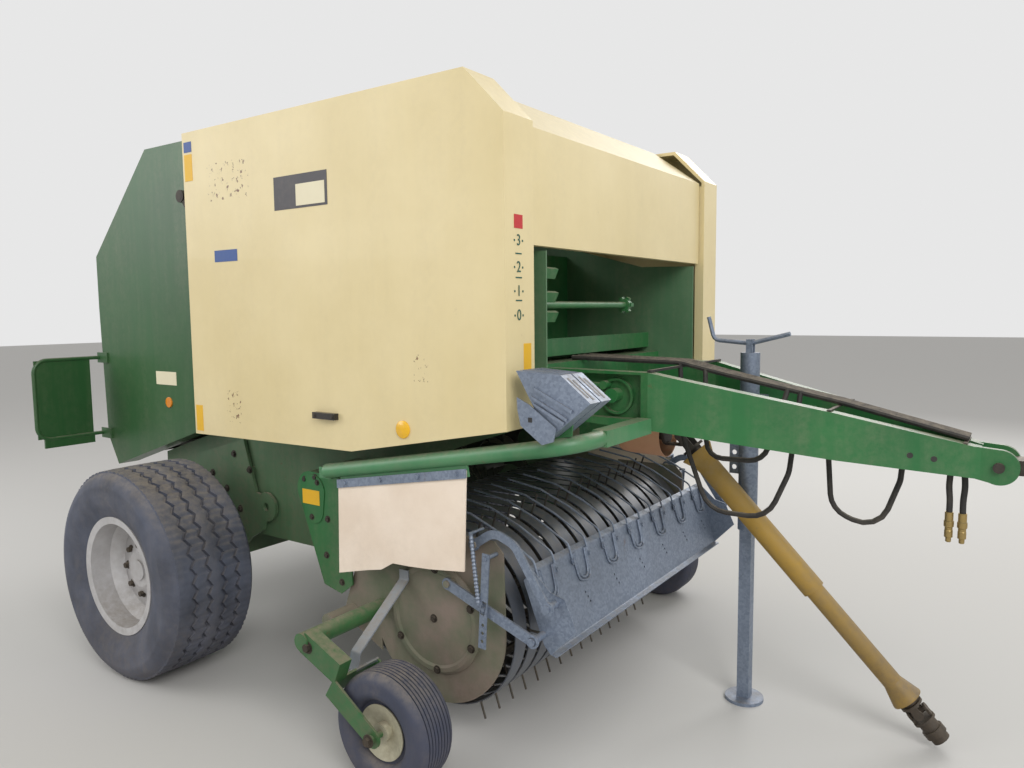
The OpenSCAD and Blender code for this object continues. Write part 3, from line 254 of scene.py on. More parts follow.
@dataclass(frozen=True)
class Finish:
    """One surface finish: its two main tones, its shine, and how dust, grime and wear lie on it."""

    name: str
    base: tuple
    second: tuple
    rough: float = 0.5
    metal: float = 0.0
    dust: float = 0.35
    grime: float = 0.4
    grime_top: float = 0.9
    wear: float = 0.15
    worn: tuple = RUST
    patch: float = 2.2
    grain: float = 160.0
    depth: float = 0.0004
    coat: float = 0.0
    accents: tuple = ()

    def make(self) -> Material:
        """Builds the material, or returns it where it is made already."""
        if self.name in bpy.data.materials:
            return bpy.data.materials[self.name]
        g = Graph(self.name)
        patches = g.noise(self.patch, 5)
        speckle = g.noise(SPECKLE_SCALE, 8, 0.7)
        streaks = g.noise(1.0, 6, 0.65, g.stretch(STREAK_STRETCH))
        colour = g.mix(g.spread(patches, 0.35, 0.65), self.base, self.second)
        worn_at = g.spread(g.noise(WORN_SCALE, 12, 0.72), WORN_FROM, WORN_TO, self.wear)
        colour = g.mix(worn_at, colour, self.worn)
        for accent in self.accents:
            share = g.inside(accent.low, accent.high)
            if accent.spots:
                share = g.maths("MULTIPLY", share, g.spread(g.noise(SPOT_SCALE, 6, 0.7), SPOT_FROM, SPOT_TO))
            colour = g.mix(share, colour, accent.colour)
        top_dust = g.maths("MULTIPLY", g.spread(g.upward(), 0.25, 0.95),
                           g.spread(speckle, 0.25, 0.6, self.dust * 1.6))
        thin_dust = g.maths("MULTIPLY", g.spread(streaks, 0.38, 0.72),
                            g.spread(speckle, 0.3, 0.75, self.dust * 0.8))
        colour = g.mix(g.maths("MAXIMUM", top_dust, thin_dust), colour, DUST)
        low = g.spread(g.height(), self.grime_top, self.grime_top * 0.15)
        colour = g.mix(g.maths("MULTIPLY", low, g.spread(speckle, 0.2, 0.7, self.grime)), colour, MUD)
        g.feed(g.shader.inputs["Base Color"], colour)
        g.feed(g.shader.inputs["Roughness"], self.rough)
        g.shader.inputs["Metallic"].default_value = self.metal
        g.shader.inputs["Coat Weight"].default_value = self.coat
        g.bump(g.noise(self.grain, 4), self.depth)
        return g.material


@dataclass(frozen=True)
class Zinc:
    """Galvanised sheet with its spangle, thin grey bloom and a few rusty stains."""

    name: str = "galvanised sheet"
    base: tuple = tone(120, 131, 149)
    bright: tuple = tone(150, 162, 180)
    bloom: tuple = tone(104, 112, 122)
    shiny: float = 0.36
    dull: float = 0.6
    cell: float = 130.0

    def make(self) -> Material:
        """Builds the material, or returns it where it is made already."""
        if self.name in bpy.data.materials:
            return bpy.data.materials[self.name]
        g = Graph(self.name)
        flakes = g.node("ShaderNodeRGBToBW")
        g.feed(flakes.inputs[0], g.cells(self.cell))
        colour = g.mix(g.spread(flakes.outputs[0], 0.2, 0.8, 0.6), self.base, self.bright)
        speckle = g.noise(30, 8, 0.7)
        colour = g.mix(g.spread(g.noise(3, 6), 0.45, 0.7, 0.45), colour, self.bloom)
        colour = g.mix(g.spread(g.noise(6, 10, 0.7), 0.64, 0.74, 0.55), colour, RUST)
        dust = g.maths("MULTIPLY", g.spread(g.upward(), 0.2, 0.9), g.spread(speckle, 0.3, 0.7, 0.5))
        colour = g.mix(dust, colour, DUST)
        g.feed(g.shader.inputs["Base Color"], colour)
        g.shader.inputs["Metallic"].default_value = 0.45
        rough = g.mix(g.spread(speckle, 0.3, 0.7), (self.shiny,) * 3 + (1,), (self.dull,) * 3 + (1,))
        g.feed(g.shader.inputs["Roughness"], rough)
        g.bump(speckle, 0.0003)
        return g.material


@dataclass(frozen=True)
class Label(Finish):
    """The finish of a plain label."""

    dust: float = 0.15
    wear: float = 0.1


class Look(Enum):
    """The machine's finishes."""

    GREEN = Finish("green paint", tone(44, 116, 62), tone(36, 100, 54), rough=0.4, dust=0.42, grime=0.5,
                   wear=0.5)
    TAILGATE = Finish("green paint of the tailgate", tone(44, 92, 48), tone(40, 84, 44), rough=0.38, dust=0.3,
                      wear=0.1)
    GAUGE = Finish("green paint of the gauge wheels", tone(44, 116, 62), tone(36, 100, 54), rough=0.4,
                   dust=0.42, grime=0.5, wear=0.5, accents=(Accent((1200, 743, 317), (1250, 1002, 582),
                                                                   tone(140, 150, 160)),))
    DUSTY = Finish("dusty green paint", tone(88, 126, 92), tone(66, 106, 72), rough=0.55, dust=0.6,
                   grime=0.55, grime_top=1.3, wear=0.6)
    # The guard bows' light green is partly dust and partly a painted sheen on the tube.
    BOW = Finish("faded green tube", tone(78, 138, 94), tone(64, 122, 80), rough=0.4, dust=0.4, grime=0.3,
                 wear=0.6, worn=tone(120, 96, 76))
    SHABBY = Finish("shabby green paint of the pickup", tone(138, 124, 114), tone(92, 108, 82), rough=0.6,
                    dust=0.45, grime=0.5, grime_top=0.7, wear=0.95, worn=tone(98, 74, 60), patch=4.6,
                    depth=0.0008)
    CREAM = Finish("cream paint", tone(231, 214, 166), tone(223, 205, 154), rough=0.45, dust=0.16, grime=0.2,
                   grime_top=1.2, wear=0.12, worn=tone(120, 92, 60), depth=0.0002, coat=0.1,
                   accents=(Accent((900, 845.6, 1085), (1050, 900, 1145), tone(34, 32, 32)),
                            Accent((340, 844, 1900), (590, 847, 2040), tone(112, 74, 48), True),
                            Accent((400, 844, 1050), (490, 847, 1175), tone(112, 74, 48), True),
                            Accent((1380, 844, 1250), (1440, 847, 1335), tone(112, 74, 48), True)))
    ROLLER = Finish("worn roller steel", tone(40, 62, 46), tone(56, 58, 52), rough=0.5, metal=0.3, wear=0.8)
    BAND = Finish("worn pickup bands", tone(86, 96, 110), tone(106, 114, 126), rough=0.38, metal=0.4,
                  dust=0.3, wear=0.5)
    TINE = Finish("spring steel", tone(96, 94, 90), tone(70, 66, 62), rough=0.4, metal=0.7, wear=0.5)
    FORGED = Finish("forged steel", tone(74, 70, 66), tone(58, 54, 50), rough=0.6, metal=0.6, wear=0.6,
                    depth=0.001)
    SLEEVE = Finish("faded moulded plastic", tone(206, 156, 120), tone(190, 140, 106), rough=0.6, wear=0.0)
    BELTING = Finish("pale rubber belting", tone(248, 232, 214), tone(238, 220, 200), rough=0.85, dust=0.1,
                     grime=0.2, wear=0.35, worn=tone(132, 104, 78), patch=5, depth=0.0006)
    RUBBER = Finish("black rubber", tone(34, 34, 36), tone(44, 43, 42), rough=0.7, dust=0.35, wear=0.0)
    # Blue-grey rubber: the tone is partly dust and partly a painted sky reflection on the tread.
    TYRE = Finish("tyre rubber", tone(66, 70, 82), tone(86, 91, 106), rough=0.8, dust=0.35, grime=0.25,
                  grime_top=0.4, wear=0.0, patch=6, depth=0.0006)
    # The gauge tyres' blue-grey tone is likewise partly dust and partly a painted sky reflection.
    SMALL_TYRE = Finish("dark tyre rubber", tone(56, 62, 80), tone(66, 72, 92), rough=0.7, dust=0.3,
                        grime=0.25, grime_top=0.4, wear=0.0, patch=6, depth=0.0006)
    RIM = Finish("silver rim paint", tone(204, 203, 204), tone(188, 187, 188), rough=0.45, metal=0.2,
                 dust=0.3, grime=0.35, wear=0.35, patch=7)
    CREAM_RIM = Finish("cream rim paint", tone(208, 202, 172), tone(184, 182, 160), rough=0.55, dust=0.4,
                       grime=0.5, wear=0.7)
    YELLOW = Finish("dusty yellow plastic", tone(180, 142, 50), tone(150, 122, 58), rough=0.6, dust=0.5,
                    grime=0.7, grime_top=0.8, wear=0.3, worn=tone(90, 78, 52))
    BLACK = Finish("black paint", tone(30, 30, 32), tone(40, 40, 40), rough=0.45, dust=0.3, wear=0.1)
    BRASS = Finish("yellow zinc plating", tone(176, 150, 92), tone(150, 130, 84), rough=0.4, metal=0.7,
                   dust=0.3)
    LAMP = Finish("red lens", tone(138, 20, 18), tone(120, 16, 16), rough=0.2, dust=0.25, wear=0.0, coat=0.6)
    SUN = Finish("yellow reflector", tone(244, 190, 20), tone(240, 182, 16), rough=0.25, dust=0.1, wear=0.0,
                 coat=0.6)
    AMBER = Finish("amber reflector", tone(232, 140, 20), tone(224, 128, 16), rough=0.2, dust=0.12, wear=0.0,
                   coat=0.6)
    LABEL_YELLOW = Label("plain yellow label", tone(236, 184, 30), tone(230, 178, 34), wear=0.3,
                         worn=tone(200, 190, 160))
    LABEL_BLUE = Label("plain blue label", tone(44, 80, 150), tone(48, 84, 146))
    LABEL_RED = Label("plain red label", tone(196, 36, 40), tone(186, 34, 40))
    LABEL_DARK = Label("plain grey label", tone(60, 58, 64), tone(72, 70, 74), dust=0.2, wear=0.3,
                       worn=tone(150, 148, 144))
    LABEL_CREAM = Label("plain cream label", tone(236, 228, 196), tone(230, 220, 188), dust=0.1)
    MARK = Label("green marks", tone(24, 84, 70), tone(24, 84, 70), dust=0.1, wear=0.2,
                 worn=tone(226, 208, 160))

    def make(self) -> Material:
        """Builds this finish's material."""
        return self.value.make()


def zinc() -> Material:
    """The galvanised sheet's material."""
    return Zinc().make()


def dress(frame: dict, finish: Material, *nodes: str) -> None:
    """Gives CAD nodes a finish.

    Args:
        finish: the material.
        nodes: the nodes' names.
    """
    for name in nodes:
        for slot in frame["nodes"][name].material_slots:
            slot.material = finish
    LOG.info("dressed %s in %s", ", ".join(nodes), finish.name)


def put(name: str, data: bpy.types.ID) -> Piece:
    """Makes an object of that data and adds it to the scene."""
    made = bpy.data.objects.new(name, data)
    bpy.context.scene.collection.objects.link(made)
    return made


def mesh_piece(name: str, points: Iterable[Point], faces: Iterable[Sequence[int]],
               finish: Material, smooth: bool = False) -> Piece:
    """Makes a mesh object at the origin with its normals turned outwards.

    Args:
        name: the piece's name.
        points: its corners in metres.
        faces: its faces as corner numbers.
        finish: its material.
        smooth: whether it is shaded smooth below 35 degrees.

    Returns:
        The new object.
    """
    mesh = bpy.data.meshes.new(name)
    mesh.from_pydata([tuple(p) for p in points], [], [tuple(f) for f in faces])
    work = bmesh.new()
    work.from_mesh(mesh)
    bmesh.ops.remove_doubles(work, verts=work.verts, dist=1e-6)
    bmesh.ops.recalc_face_normals(work, faces=work.faces)
    work.to_mesh(mesh)
    work.free()
    mesh.materials.append(finish)
    piece = put(name, mesh)
    if smooth:
        for polygon in mesh.polygons:
            polygon.use_smooth = True
        mesh.set_sharp_from_angle(angle=math.radians(35))
    return piece


def as_mesh(made: Piece) -> Piece:
    """Turns an object with its modifiers into a plain mesh object of the same name.

    Args:
        made: the object whose modifiers are applied.

    Returns:
        The plain object.
    """
    graph = bpy.context.evaluated_depsgraph_get()
    mesh = bpy.data.meshes.new_from_object(made.evaluated_get(graph))
    mesh.transform(made.matrix_world)
    name = made.name
    bpy.data.objects.remove(made)
    return put(name, mesh)


def box_piece(name: str, low: Point, high: Point, finish: Material, edge: float = 0.8) -> Piece:
    """Makes a box with rounded edges between two corners of the machine.

    Args:
        name: the piece's name.
        low: its lowest corner in millimetres.
        high: its highest corner in millimetres.
        finish: its material.
        edge: the radius of its edges in millimetres.

    Returns:
        The new object.
    """
    a, b = spot(*low), spot(*high)
    points = [(x, y, z) for x in (a.x, b.x) for y in (a.y, b.y) for z in (a.z, b.z)]
    faces = [(0, 1, 3, 2), (4, 6, 7, 5), (0, 4, 5, 1), (2, 3, 7, 6), (0, 2, 6, 4), (1, 5, 7, 3)]
    piece = mesh_piece(name, points, faces, finish)
    bevel = piece.modifiers.new("edges", "BEVEL")
    bevel.width = edge / 1000
    bevel.segments = 2
    return as_mesh(piece)


def prism_piece(name: str, outline: Sequence[Vector], push: Vector, finish: Material) -> Piece:
    """Makes a flat plate from its outline and its thickness.

    Args:
        name: the piece's name.
        outline: its corners in metres, in order.
        push: the way from this face to the other, in metres.
        finish: its material.

    Returns:
        The new object.
    """
    count = len(outline)
    points = [*outline, *(p + push for p in outline)]
    sides = [(k, (k + 1) % count, count + (k + 1) % count, count + k) for k in range(count)]
    return mesh_piece(name, points, [tuple(range(count)), tuple(range(count, 2 * count)), *sides], finish)


def soft_route(corners: Sequence[Vector], steps: int = 6) -> list[Vector]:
    """Runs a smooth line through the given corners.

    Args:
        corners: the points that the line passes through.
        steps: the pieces between two corners.

    Returns:
        The line's points.
    """
    ends = [corners[0] * 2 - corners[1], *corners, corners[-1] * 2 - corners[-2]]
    line = []
    for p0, p1, p2, p3 in zip(ends, ends[1:], ends[2:], ends[3:]):
        for k in range(steps):
            t = k / steps
            line.append(0.5 * (2 * p1 + (p2 - p0) * t + (2 * p0 - 5 * p1 + 4 * p2 - p3) * t * t
                               + (3 * p1 - p0 - 3 * p2 + p3) * t ** 3))
    return [*line, corners[-1].copy()]


def disc_piece(name: str, centre: Vector, axis: Vector, profile: Sequence[tuple[float, float]],
               finish: Material, steps: int = 40) -> Piece:
    """Turns a profile round an axis.

    Args:
        name: the piece's name.
        centre: where the axis starts, in metres.
        axis: the direction in which the profile's heights are counted.
        profile: pairs of radius and height in millimetres, from the axis outwards and back to it.
        finish: the material.
        steps: faces round the axis.

    Returns:
        The new object.
    """
    turn = Vector((0, 0, 1)).rotation_difference(axis).to_matrix()
    points = []
    for r, h in profile:
        for k in range(steps):
            a = 2 * math.pi * k / steps
            points.append(centre + turn @ Vector((r * math.cos(a), r * math.sin(a), h)) / 1000)
    faces = []
    for row in range(0, (len(profile) - 1) * steps, steps):
        for k in range(steps):
            after = (k + 1) % steps
            faces.append((row + k, row + after, row + steps + after, row + steps + k))
    return mesh_piece(name, points, faces, finish, smooth=True)


def stick(name: str, body: str, low: Point, high: Point, finish: Material) -> None:
    """Sticks a thin plain label between two corners."""
    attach(box_piece(name, low, high, finish, 0.3), body)


def reflector(name: str, body: str, centre: Vector, side: int, radii: tuple, finish: Material) -> None:
    """Adds a round reflector that faces one side of the machine."""
    outer, inner = radii
    profile = [(0, 0), (outer, 0), (outer, 4), (inner, 6), (0, 7)]
    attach(disc_piece(name, centre, outward(side), profile, finish), body)


@dataclass
class BoltTree:
    """A Geometry Nodes tree that stands a hexagon head with its washer on each point of a mesh."""

    head: float = 8.0
    height: float = 7.0
    seed: int = 4

    def tree(self) -> NodeTree:
        """Builds the tree once, with its inputs for size, seed and finish, and returns it."""
        if "bolt heads" in bpy.data.node_groups:
            return bpy.data.node_groups["bolt heads"]
        tree = bpy.data.node_groups.new("bolt heads", "GeometryNodeTree")
        tree.interface.new_socket("Geometry", in_out="INPUT", socket_type="NodeSocketGeometry")
        for name, value in (("Head radius", 0.008), ("Head height", 0.007), ("Washer radius", 0.013)):
            tree.interface.new_socket(name, in_out="INPUT",
                                      socket_type="NodeSocketFloat").default_value = value
        tree.interface.new_socket("Seed", in_out="INPUT", socket_type="NodeSocketInt").default_value = 4
        tree.interface.new_socket("Finish", in_out="INPUT", socket_type="NodeSocketMaterial")
        tree.interface.new_socket("Geometry", in_out="OUTPUT", socket_type="NodeSocketGeometry")
        kinds = ("NodeGroupInput", "NodeGroupOutput", "GeometryNodeMeshCylinder", "GeometryNodeMeshCylinder",
                 "ShaderNodeMath", "ShaderNodeCombineXYZ", "GeometryNodeTransform",
                 "GeometryNodeJoinGeometry", "GeometryNodeInputNamedAttribute",
                 "FunctionNodeAlignRotationToVector", "FunctionNodeRandomValue", "ShaderNodeCombineXYZ",
                 "FunctionNodeRotateRotation", "GeometryNodeInstanceOnPoints", "GeometryNodeRealizeInstances",
                 "GeometryNodeSetMaterial")
        (start, end, head, washer, half, lift, raised, both, axis, stand, chance, spin, turn, place, real,
         paint) = (tree.nodes.new(kind) for kind in kinds)
        head.inputs["Vertices"].default_value = 6
        washer.inputs["Vertices"].default_value = 16
        washer.inputs["Depth"].default_value = 0.002
        half.operation = "MULTIPLY"
        half.inputs[1].default_value = 0.5
        axis.data_type = "FLOAT_VECTOR"
        axis.inputs["Name"].default_value = "axis"
        stand.axis = "Z"
        turn.rotation_space = "LOCAL"
        wires = (
            (start, "Head radius", head, "Radius"), (start, "Head height", head, "Depth"),
            (start, "Washer radius", washer, "Radius"), (start, "Head height", half, 0), (half, 0, lift, "Z"),
            (head, "Mesh", raised, "Geometry"), (lift, 0, raised, "Translation"), (raised, 0, both, 0),
            (washer, "Mesh", both, 0), (axis, 0, stand, "Vector"), (start, "Seed", chance, "Seed"),
            (chance, 1, spin, "Z"), (stand, 0, turn, 0), (spin, 0, turn, 1),
            (start, "Geometry", place, "Points"), (both, 0, place, "Instance"), (turn, 0, place, "Rotation"),
            (place, 0, real, 0), (real, 0, paint, "Geometry"), (start, "Finish", paint, "Material"),
            (paint, 0, end, 0))
        for source, out, target, into in wires:
            tree.links.new(source.outputs[out], target.inputs[into])
        return tree

    def stand(self, name: str, body: str, places: Sequence[tuple[Vector, Vector]],
              finish: Material) -> Piece:
        """Stands a bolt head at each place and lets them ride on a body.

        Args:
            name: the piece's name.
            body: the CAD body that carries the bolts.
            places: pairs of a point in metres and the direction of the bolt's head.
            finish: the bolts' material.

        Returns:
            The finished piece.
        """
        mesh = bpy.data.meshes.new(name)
        mesh.from_pydata([tuple(p) for p, _ in places], [], [])
        axis = mesh.attributes.new("axis", "FLOAT_VECTOR", "POINT")
        for k, (_, direction) in enumerate(places):
            axis.data[k].vector = direction
        made = put(name, mesh)
        modifier = made.modifiers.new("bolts", "NODES")
        modifier.node_group = self.tree()
        sizes = {"Head radius": self.head / 1000, "Head height": self.height / 1000,
                 "Washer radius": self.head * 1.5 / 1000, "Seed": self.seed, "Finish": finish}
        for item in modifier.node_group.interface.items_tree:
            if item.in_out == "INPUT" and item.name in sizes:
                modifier[item.identifier] = sizes[item.name]
        piece = as_mesh(made)
        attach(piece, body)
        LOG.info("%s: %d bolts on %s", name, len(places), body)
        return piece


@dataclass
class Studio:
    """The camera at the photograph's view, a pale floor and soft lamps."""

    eye: tuple = (1.9156, -2.6787, 1.4704)
    yaw: float = 34.9
    pitch: float = -5.4
    roll: float = -0.6
    focal_px: float = 776.4
    width_px: int = 1024
    sensor: float = 36.0
    floor_half: float = 40
    lamp_size: float = 4.0
    lamp_aim: tuple = (0, 0, 1)
    lamps_at: tuple = (("key", (6.0, -4.5, 5.5), 330), ("fill", (-5.5, -5.0, 4.0), 150),
                       ("rim", (1.0, 6.0, 5.0), 200))
    sky_light: float = 0.55
    sky_seen: float = 0.8

    def camera(self) -> None:
        """Sets the scene's camera where the photograph was taken."""
        a, e, r = (math.radians(v) for v in (self.yaw, self.pitch, self.roll))
        look = Vector((-math.sin(a) * math.cos(e), math.cos(a) * math.cos(e), math.sin(e)))
        right = Vector((math.cos(a), math.sin(a), 0))
        up = right.cross(look)
        turned = math.cos(r) * right + math.sin(r) * up
        upright = -math.sin(r) * right + math.cos(r) * up
        data = bpy.data.cameras.new("camera")
        data.sensor_width = self.sensor
        data.lens = self.sensor * self.focal_px / self.width_px
        camera = put("camera", data)
        camera.matrix_world = Matrix.Translation(self.eye) @ Matrix((turned, upright,
                                                                     -look)).transposed().to_4x4()
        bpy.context.scene.camera = camera

    def floor(self) -> None:
        """Lays the pale floor."""
        finish = bpy.data.materials.new("floor")
        finish.use_nodes = True
        tree = finish.node_tree
        shader = tree.nodes["Principled BSDF"]
        shader.inputs["Base Color"].default_value = tone(206, 204, 200)
        shader.inputs["Roughness"].default_value = 0.9
        half = self.floor_half
        piece = mesh_piece("floor", [(-half, -half, 0), (half, -half, 0), (half, half, 0), (-half, half, 0)],
                           [(0, 1, 2, 3)], finish)

    def lamps(self) -> None:
        """Adds the soft lamps and the pale sky."""
        for name, place, power in self.lamps_at:
            data = bpy.data.lights.new(name, "AREA")
            data.size = self.lamp_size
            data.energy = power
            lamp = put(name, data)
            aim = (Vector(self.lamp_aim) - Vector(place)).to_track_quat("-Z", "Y")
            lamp.matrix_world = Matrix.Translation(place) @ aim.to_matrix().to_4x4()
        world = bpy.data.worlds.new("sky")
        bpy.context.scene.world = world
        world.use_nodes = True
        tree = world.node_tree
        background = tree.nodes["Background"]
        path = tree.nodes.new("ShaderNodeLightPath")
        seen = path.outputs["Is Camera Ray"]
        for ray in ("Is Glossy Ray", "Is Transmission Ray"):
            either = tree.nodes.new("ShaderNodeMath")
            either.operation = "MAXIMUM"
            tree.links.new(seen, either.inputs[0])
            tree.links.new(path.outputs[ray], either.inputs[1])
            seen = either.outputs[0]
        strength = tree.nodes.new("ShaderNodeMapRange")
        tree.links.new(seen, strength.inputs["Value"])
        strength.inputs["To Min"].default_value = self.sky_light
        strength.inputs["To Max"].default_value = self.sky_seen
        background.inputs["Color"].default_value = (1, 1, 1, 1)
        tree.links.new(strength.outputs["Result"], background.inputs["Strength"])

    def set_up(self) -> None:
        """Makes the whole studio."""
        bpy.context.scene.view_settings.view_transform = "Standard"
        self.camera()
        self.floor()
        self.lamps()
        LOG.info("studio ready")


@dataclass
class FreeHoses:
    """The two hoses whose couplings hang under the front of the drawbar."""

    radius: float = 9.0
    top: float = 1009.7
    low: float = 842.3
    bends: tuple = (975, 925, 880)
    tails: tuple = (("free_hose_rear", "coupling_rear", 2800, -3),
                    ("free_hose_front", "coupling_front", 2836, 3))

    def route(self, x: float, sway: float) -> list[Vector]:
        """The hose's centreline, from the drawbar's plate down to its coupling."""
        upper, middle, lower = self.bends
        corners = [spot(x, 0, z) + Vector((push, 0, 0)) / 1000
                   for z, push in ((self.top, 0), (upper, 0), (middle, sway), (lower, 0), (self.low, 0))]
        return soft_route(corners, 5)

    def build(self, frame: dict) -> None:
        """Makes both hoses as cords."""
        for node, coupling, x, sway in self.tails:
            route = self.route(x, sway)
            curve = bpy.data.curves.new(node + "_cord", "CURVE")
            curve.dimensions = "3D"
            curve.bevel_depth = self.radius / 1000
            curve.bevel_resolution = 4
            curve.use_fill_caps = True
            line = curve.splines.new("POLY")
            line.points.add(len(route) - 1)
            for target, place in zip(line.points, route):
                target.co = (*place, 1)
            curve.materials.append(Look.RUBBER.make())
            piece = put(node + "_cord", curve)
            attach(piece, "chassis")
            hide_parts(node)
            length = sum((b - a).length for a, b in zip(route, route[1:]))
            tuple(route[0])
        dress(frame, Look.BRASS.make(), "coupling_rear", "coupling_front")


@dataclass
class MainWheels:
    """The two wide tyres with their zigzag ribs, and the rims with their nuts."""

    radius: float = 427.0
    width: float = 385.0
    track: float = 941.0
    bead: float = 219.0
    seat: float = 300.0
    ribs: int = 5
    groove: float = 15.0
    deep: float = 14.0
    zigzags: int = 46
    swing: float = 9.0
    steps: int = 368
    nuts: int = 8
    nut_ring: float = 102.0
    nut_out: float = 61.0

    def side_profile(self) -> list[tuple[float, float]]:
        """Radius and place across the tyre, from the bead to the tread's edge."""
        crown = self.width / 2
        return [(self.bead, self.seat / 2), (self.bead + 16, self.seat / 2 + 9), (268, crown - 20),
                (300, crown - 4), (332, crown), (360, crown - 1), (364, crown + 0.0), (372, crown - 2),
                (392, crown - 9), (405, crown - 19), (416, crown - 34)]

    def edges(self, turn: float) -> list[tuple[float, float]]:
        """Radius and place of the tread's points at one place round the tyre.

        Args:
            turn: the part of a whole turn, from 0 to 1.

        Returns:
            Pairs of radius and place across, in millimetres, from the positive edge to the negative.
        """
        saw = (turn * self.zigzags) % 1
        push = self.swing * (4 * abs(saw - 0.5) - 1)
        sipe = 4.0 if saw < 0.13 or 0.5 < saw < 0.63 else 0.0
        half = self.width / 2 - 36
        pitch = 2 * half / self.ribs
        row = [(self.radius - 3 - sipe, half)]
        for k in range(self.ribs - 1):
            middle = half - (k + 1) * pitch + push
            crown = self.radius - 0.00012 * middle ** 2
            row += [(crown - sipe * (k % 2), middle + self.groove / 2 + 3),
                    (crown - 1, middle + self.groove / 2),
                    (crown - self.deep, middle + self.groove / 2 - 3),
                    (crown - self.deep, middle - self.groove / 2 + 3),
                    (crown - 1, middle - self.groove / 2),
                    (crown - sipe * (1 - k % 2), middle - self.groove / 2 - 3)]
        return [*row, (self.radius - 3 - sipe, -half)]

    def tyre(self, side: int, body: str, node: str) -> None:
        """Makes one tyre and lets it stand for its CAD node.

        Args:
            side: -1 for the right wheel and 1 for the left.
            body: the wheel's body.
            node: the tyre's CAD node.
        """
        flank = self.side_profile()
        inner = [(self.bead, -self.seat / 2 + 10), (self.bead, self.seat / 2 - 10)]
        points = []
        for k in range(self.steps):
            turn = k / self.steps
            row = [*flank, *self.edges(turn), *[(r, -w) for r, w in reversed(flank)], *inner]
            angle = 2 * math.pi * turn
            points += [spot(r * math.cos(angle), side * self.track + w, self.radius + r * math.sin(angle))
                       for r, w in row]
        count = len(points) // self.steps
        faces = [(k * count + i, k * count + (i + 1) % count, (k + 1) % self.steps * count + (i + 1) % count,
                  (k + 1) % self.steps * count + i) for k in range(self.steps) for i in range(count)]
        piece = mesh_piece(node + "_tread", points, faces, Look.TYRE.make(), smooth=True)
        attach(piece, body)
        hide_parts(node)

    def build(self, frame: dict) -> None:
        """Makes both wheels."""
        for side, hand in HANDS.items():
            body = f"wheel_{hand}"
            self.tyre(side, body, f"tyre_{hand}")
            dress(frame, Look.RIM.make(), f"rim_{hand}")
            ring = []
            for k in range(self.nuts):
                angle = 2 * math.pi * k / self.nuts
                ring.append((spot(self.nut_ring * math.cos(angle), side * (self.track + self.nut_out),
                                  self.radius + self.nut_ring * math.sin(angle)), outward(side)))
            BoltTree(head=12, height=16).stand(f"wheel_nuts_{hand}", body, ring, Look.FORGED.make())


@dataclass
class Covers:
    """The cream side covers and hood with their plain labels, reflectors and indicator marks."""

    half: float = 845.0
    front: float = 1738.0
    skin: float = 1.2
    strip: float = -775.0
    digit_size: float = 0.046
    digits: tuple = (("3", 1675), ("2", 1597), ("1", 1527), ("0", 1456))
    ticks: tuple = (1637, 1567, 1500)
    reflector: tuple = (1329, 1092)
    handle: tuple = (974, 1113)
    handle_half: float = 44.0
    handle_out: float = 22.0

    def side_labels(self) -> None:
        """Puts the plain labels on the right cover."""
        y0, y1 = -self.half - self.skin, -self.half
        rows = (("label_blue_rear", 196, 2100, 246, 2140, Look.LABEL_BLUE),
                ("label_yellow_rear", 196, 1990, 246, 2092, Look.LABEL_YELLOW),
                ("label_grey", 732, 1834, 1008, 1950, Look.LABEL_DARK),
                ("label_cream", 850, 1842, 996, 1916, Look.LABEL_CREAM),
                ("label_blue_small", 366, 1668, 506, 1712, Look.LABEL_BLUE),
                ("label_yellow_low", 196, 1000, 240, 1104, Look.LABEL_YELLOW))
        for name, x0, z0, x1, z1, look in rows:
            proud = self.skin if look is Look.LABEL_CREAM else 0.0
            stick(name, "cover_right", (x0, y0 - proud, z0), (x1, y1, z1), look.make())

    def indicator(self) -> None:
        """Draws the bale size scale on the front strip of the right cover."""
        x0, x1 = self.front, self.front + self.skin
        middle = self.strip
        for text, z in self.digits:
            curve = bpy.data.curves.new("digit_" + text, "FONT")
            curve.body = text
            curve.size = self.digit_size
            curve.align_x = "CENTER"
            curve.align_y = "CENTER"
            made = put("digit_" + text, curve)
            made.matrix_world = Matrix.Translation(spot(x1, middle, z)) @ Matrix(
                ((0, 0, 1, 0), (1, 0, 0, 0), (0, 1, 0, 0), (0, 0, 0, 1)))
            bpy.context.view_layer.update()
            made.data.materials.append(Look.MARK.make())
            made.data.extrude = 0.0004
            piece = as_mesh(made)
            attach(piece, "cover_right")
        for _, z in self.digits:
            for side in HANDS:
                stick(f"indicator_dot_{z}_{HANDS[side]}", "cover_right", (x0, middle + side * 21 - 3, z - 3),
                      (x1, middle + side * 21 + 3, z + 3), Look.MARK.make())
        for z in self.ticks:
            stick(f"indicator_line_{z}", "cover_right", (x0, middle - 16, z - 2), (x1, middle + 16, z + 2),
                  Look.MARK.make())
        stick("label_red", "cover_right", (x0, middle - 22, 1710), (x1, middle + 22, 1750),
              Look.LABEL_RED.make())
        stick("label_yellow_front", "cover_right", (x0, -752, 1262), (x1, -712, 1372),
              Look.LABEL_YELLOW.make())

    def build(self, frame: dict) -> None:
        """Dresses the covers and adds what sits on them."""
        dress(frame, Look.CREAM.make(), "side_cover_right", "side_cover_left", "front_hood")
        self.side_labels()
        self.indicator()
        for side, hand in HANDS.items():
            body = f"cover_{hand}"
            x, z = self.reflector
            reflector(body + "_reflector", body, spot(x, side * self.half, z), side, (29, 26),
                      Look.SUN.make())
            x, z = self.handle
            BoltTree(head=6, height=4).stand(body + "_handle_bolts", body, [
                (spot(x + dx, side * (self.half + self.handle_out), z), outward(side))
                for dx in (-self.handle_half, self.handle_half)], Look.FORGED.make())


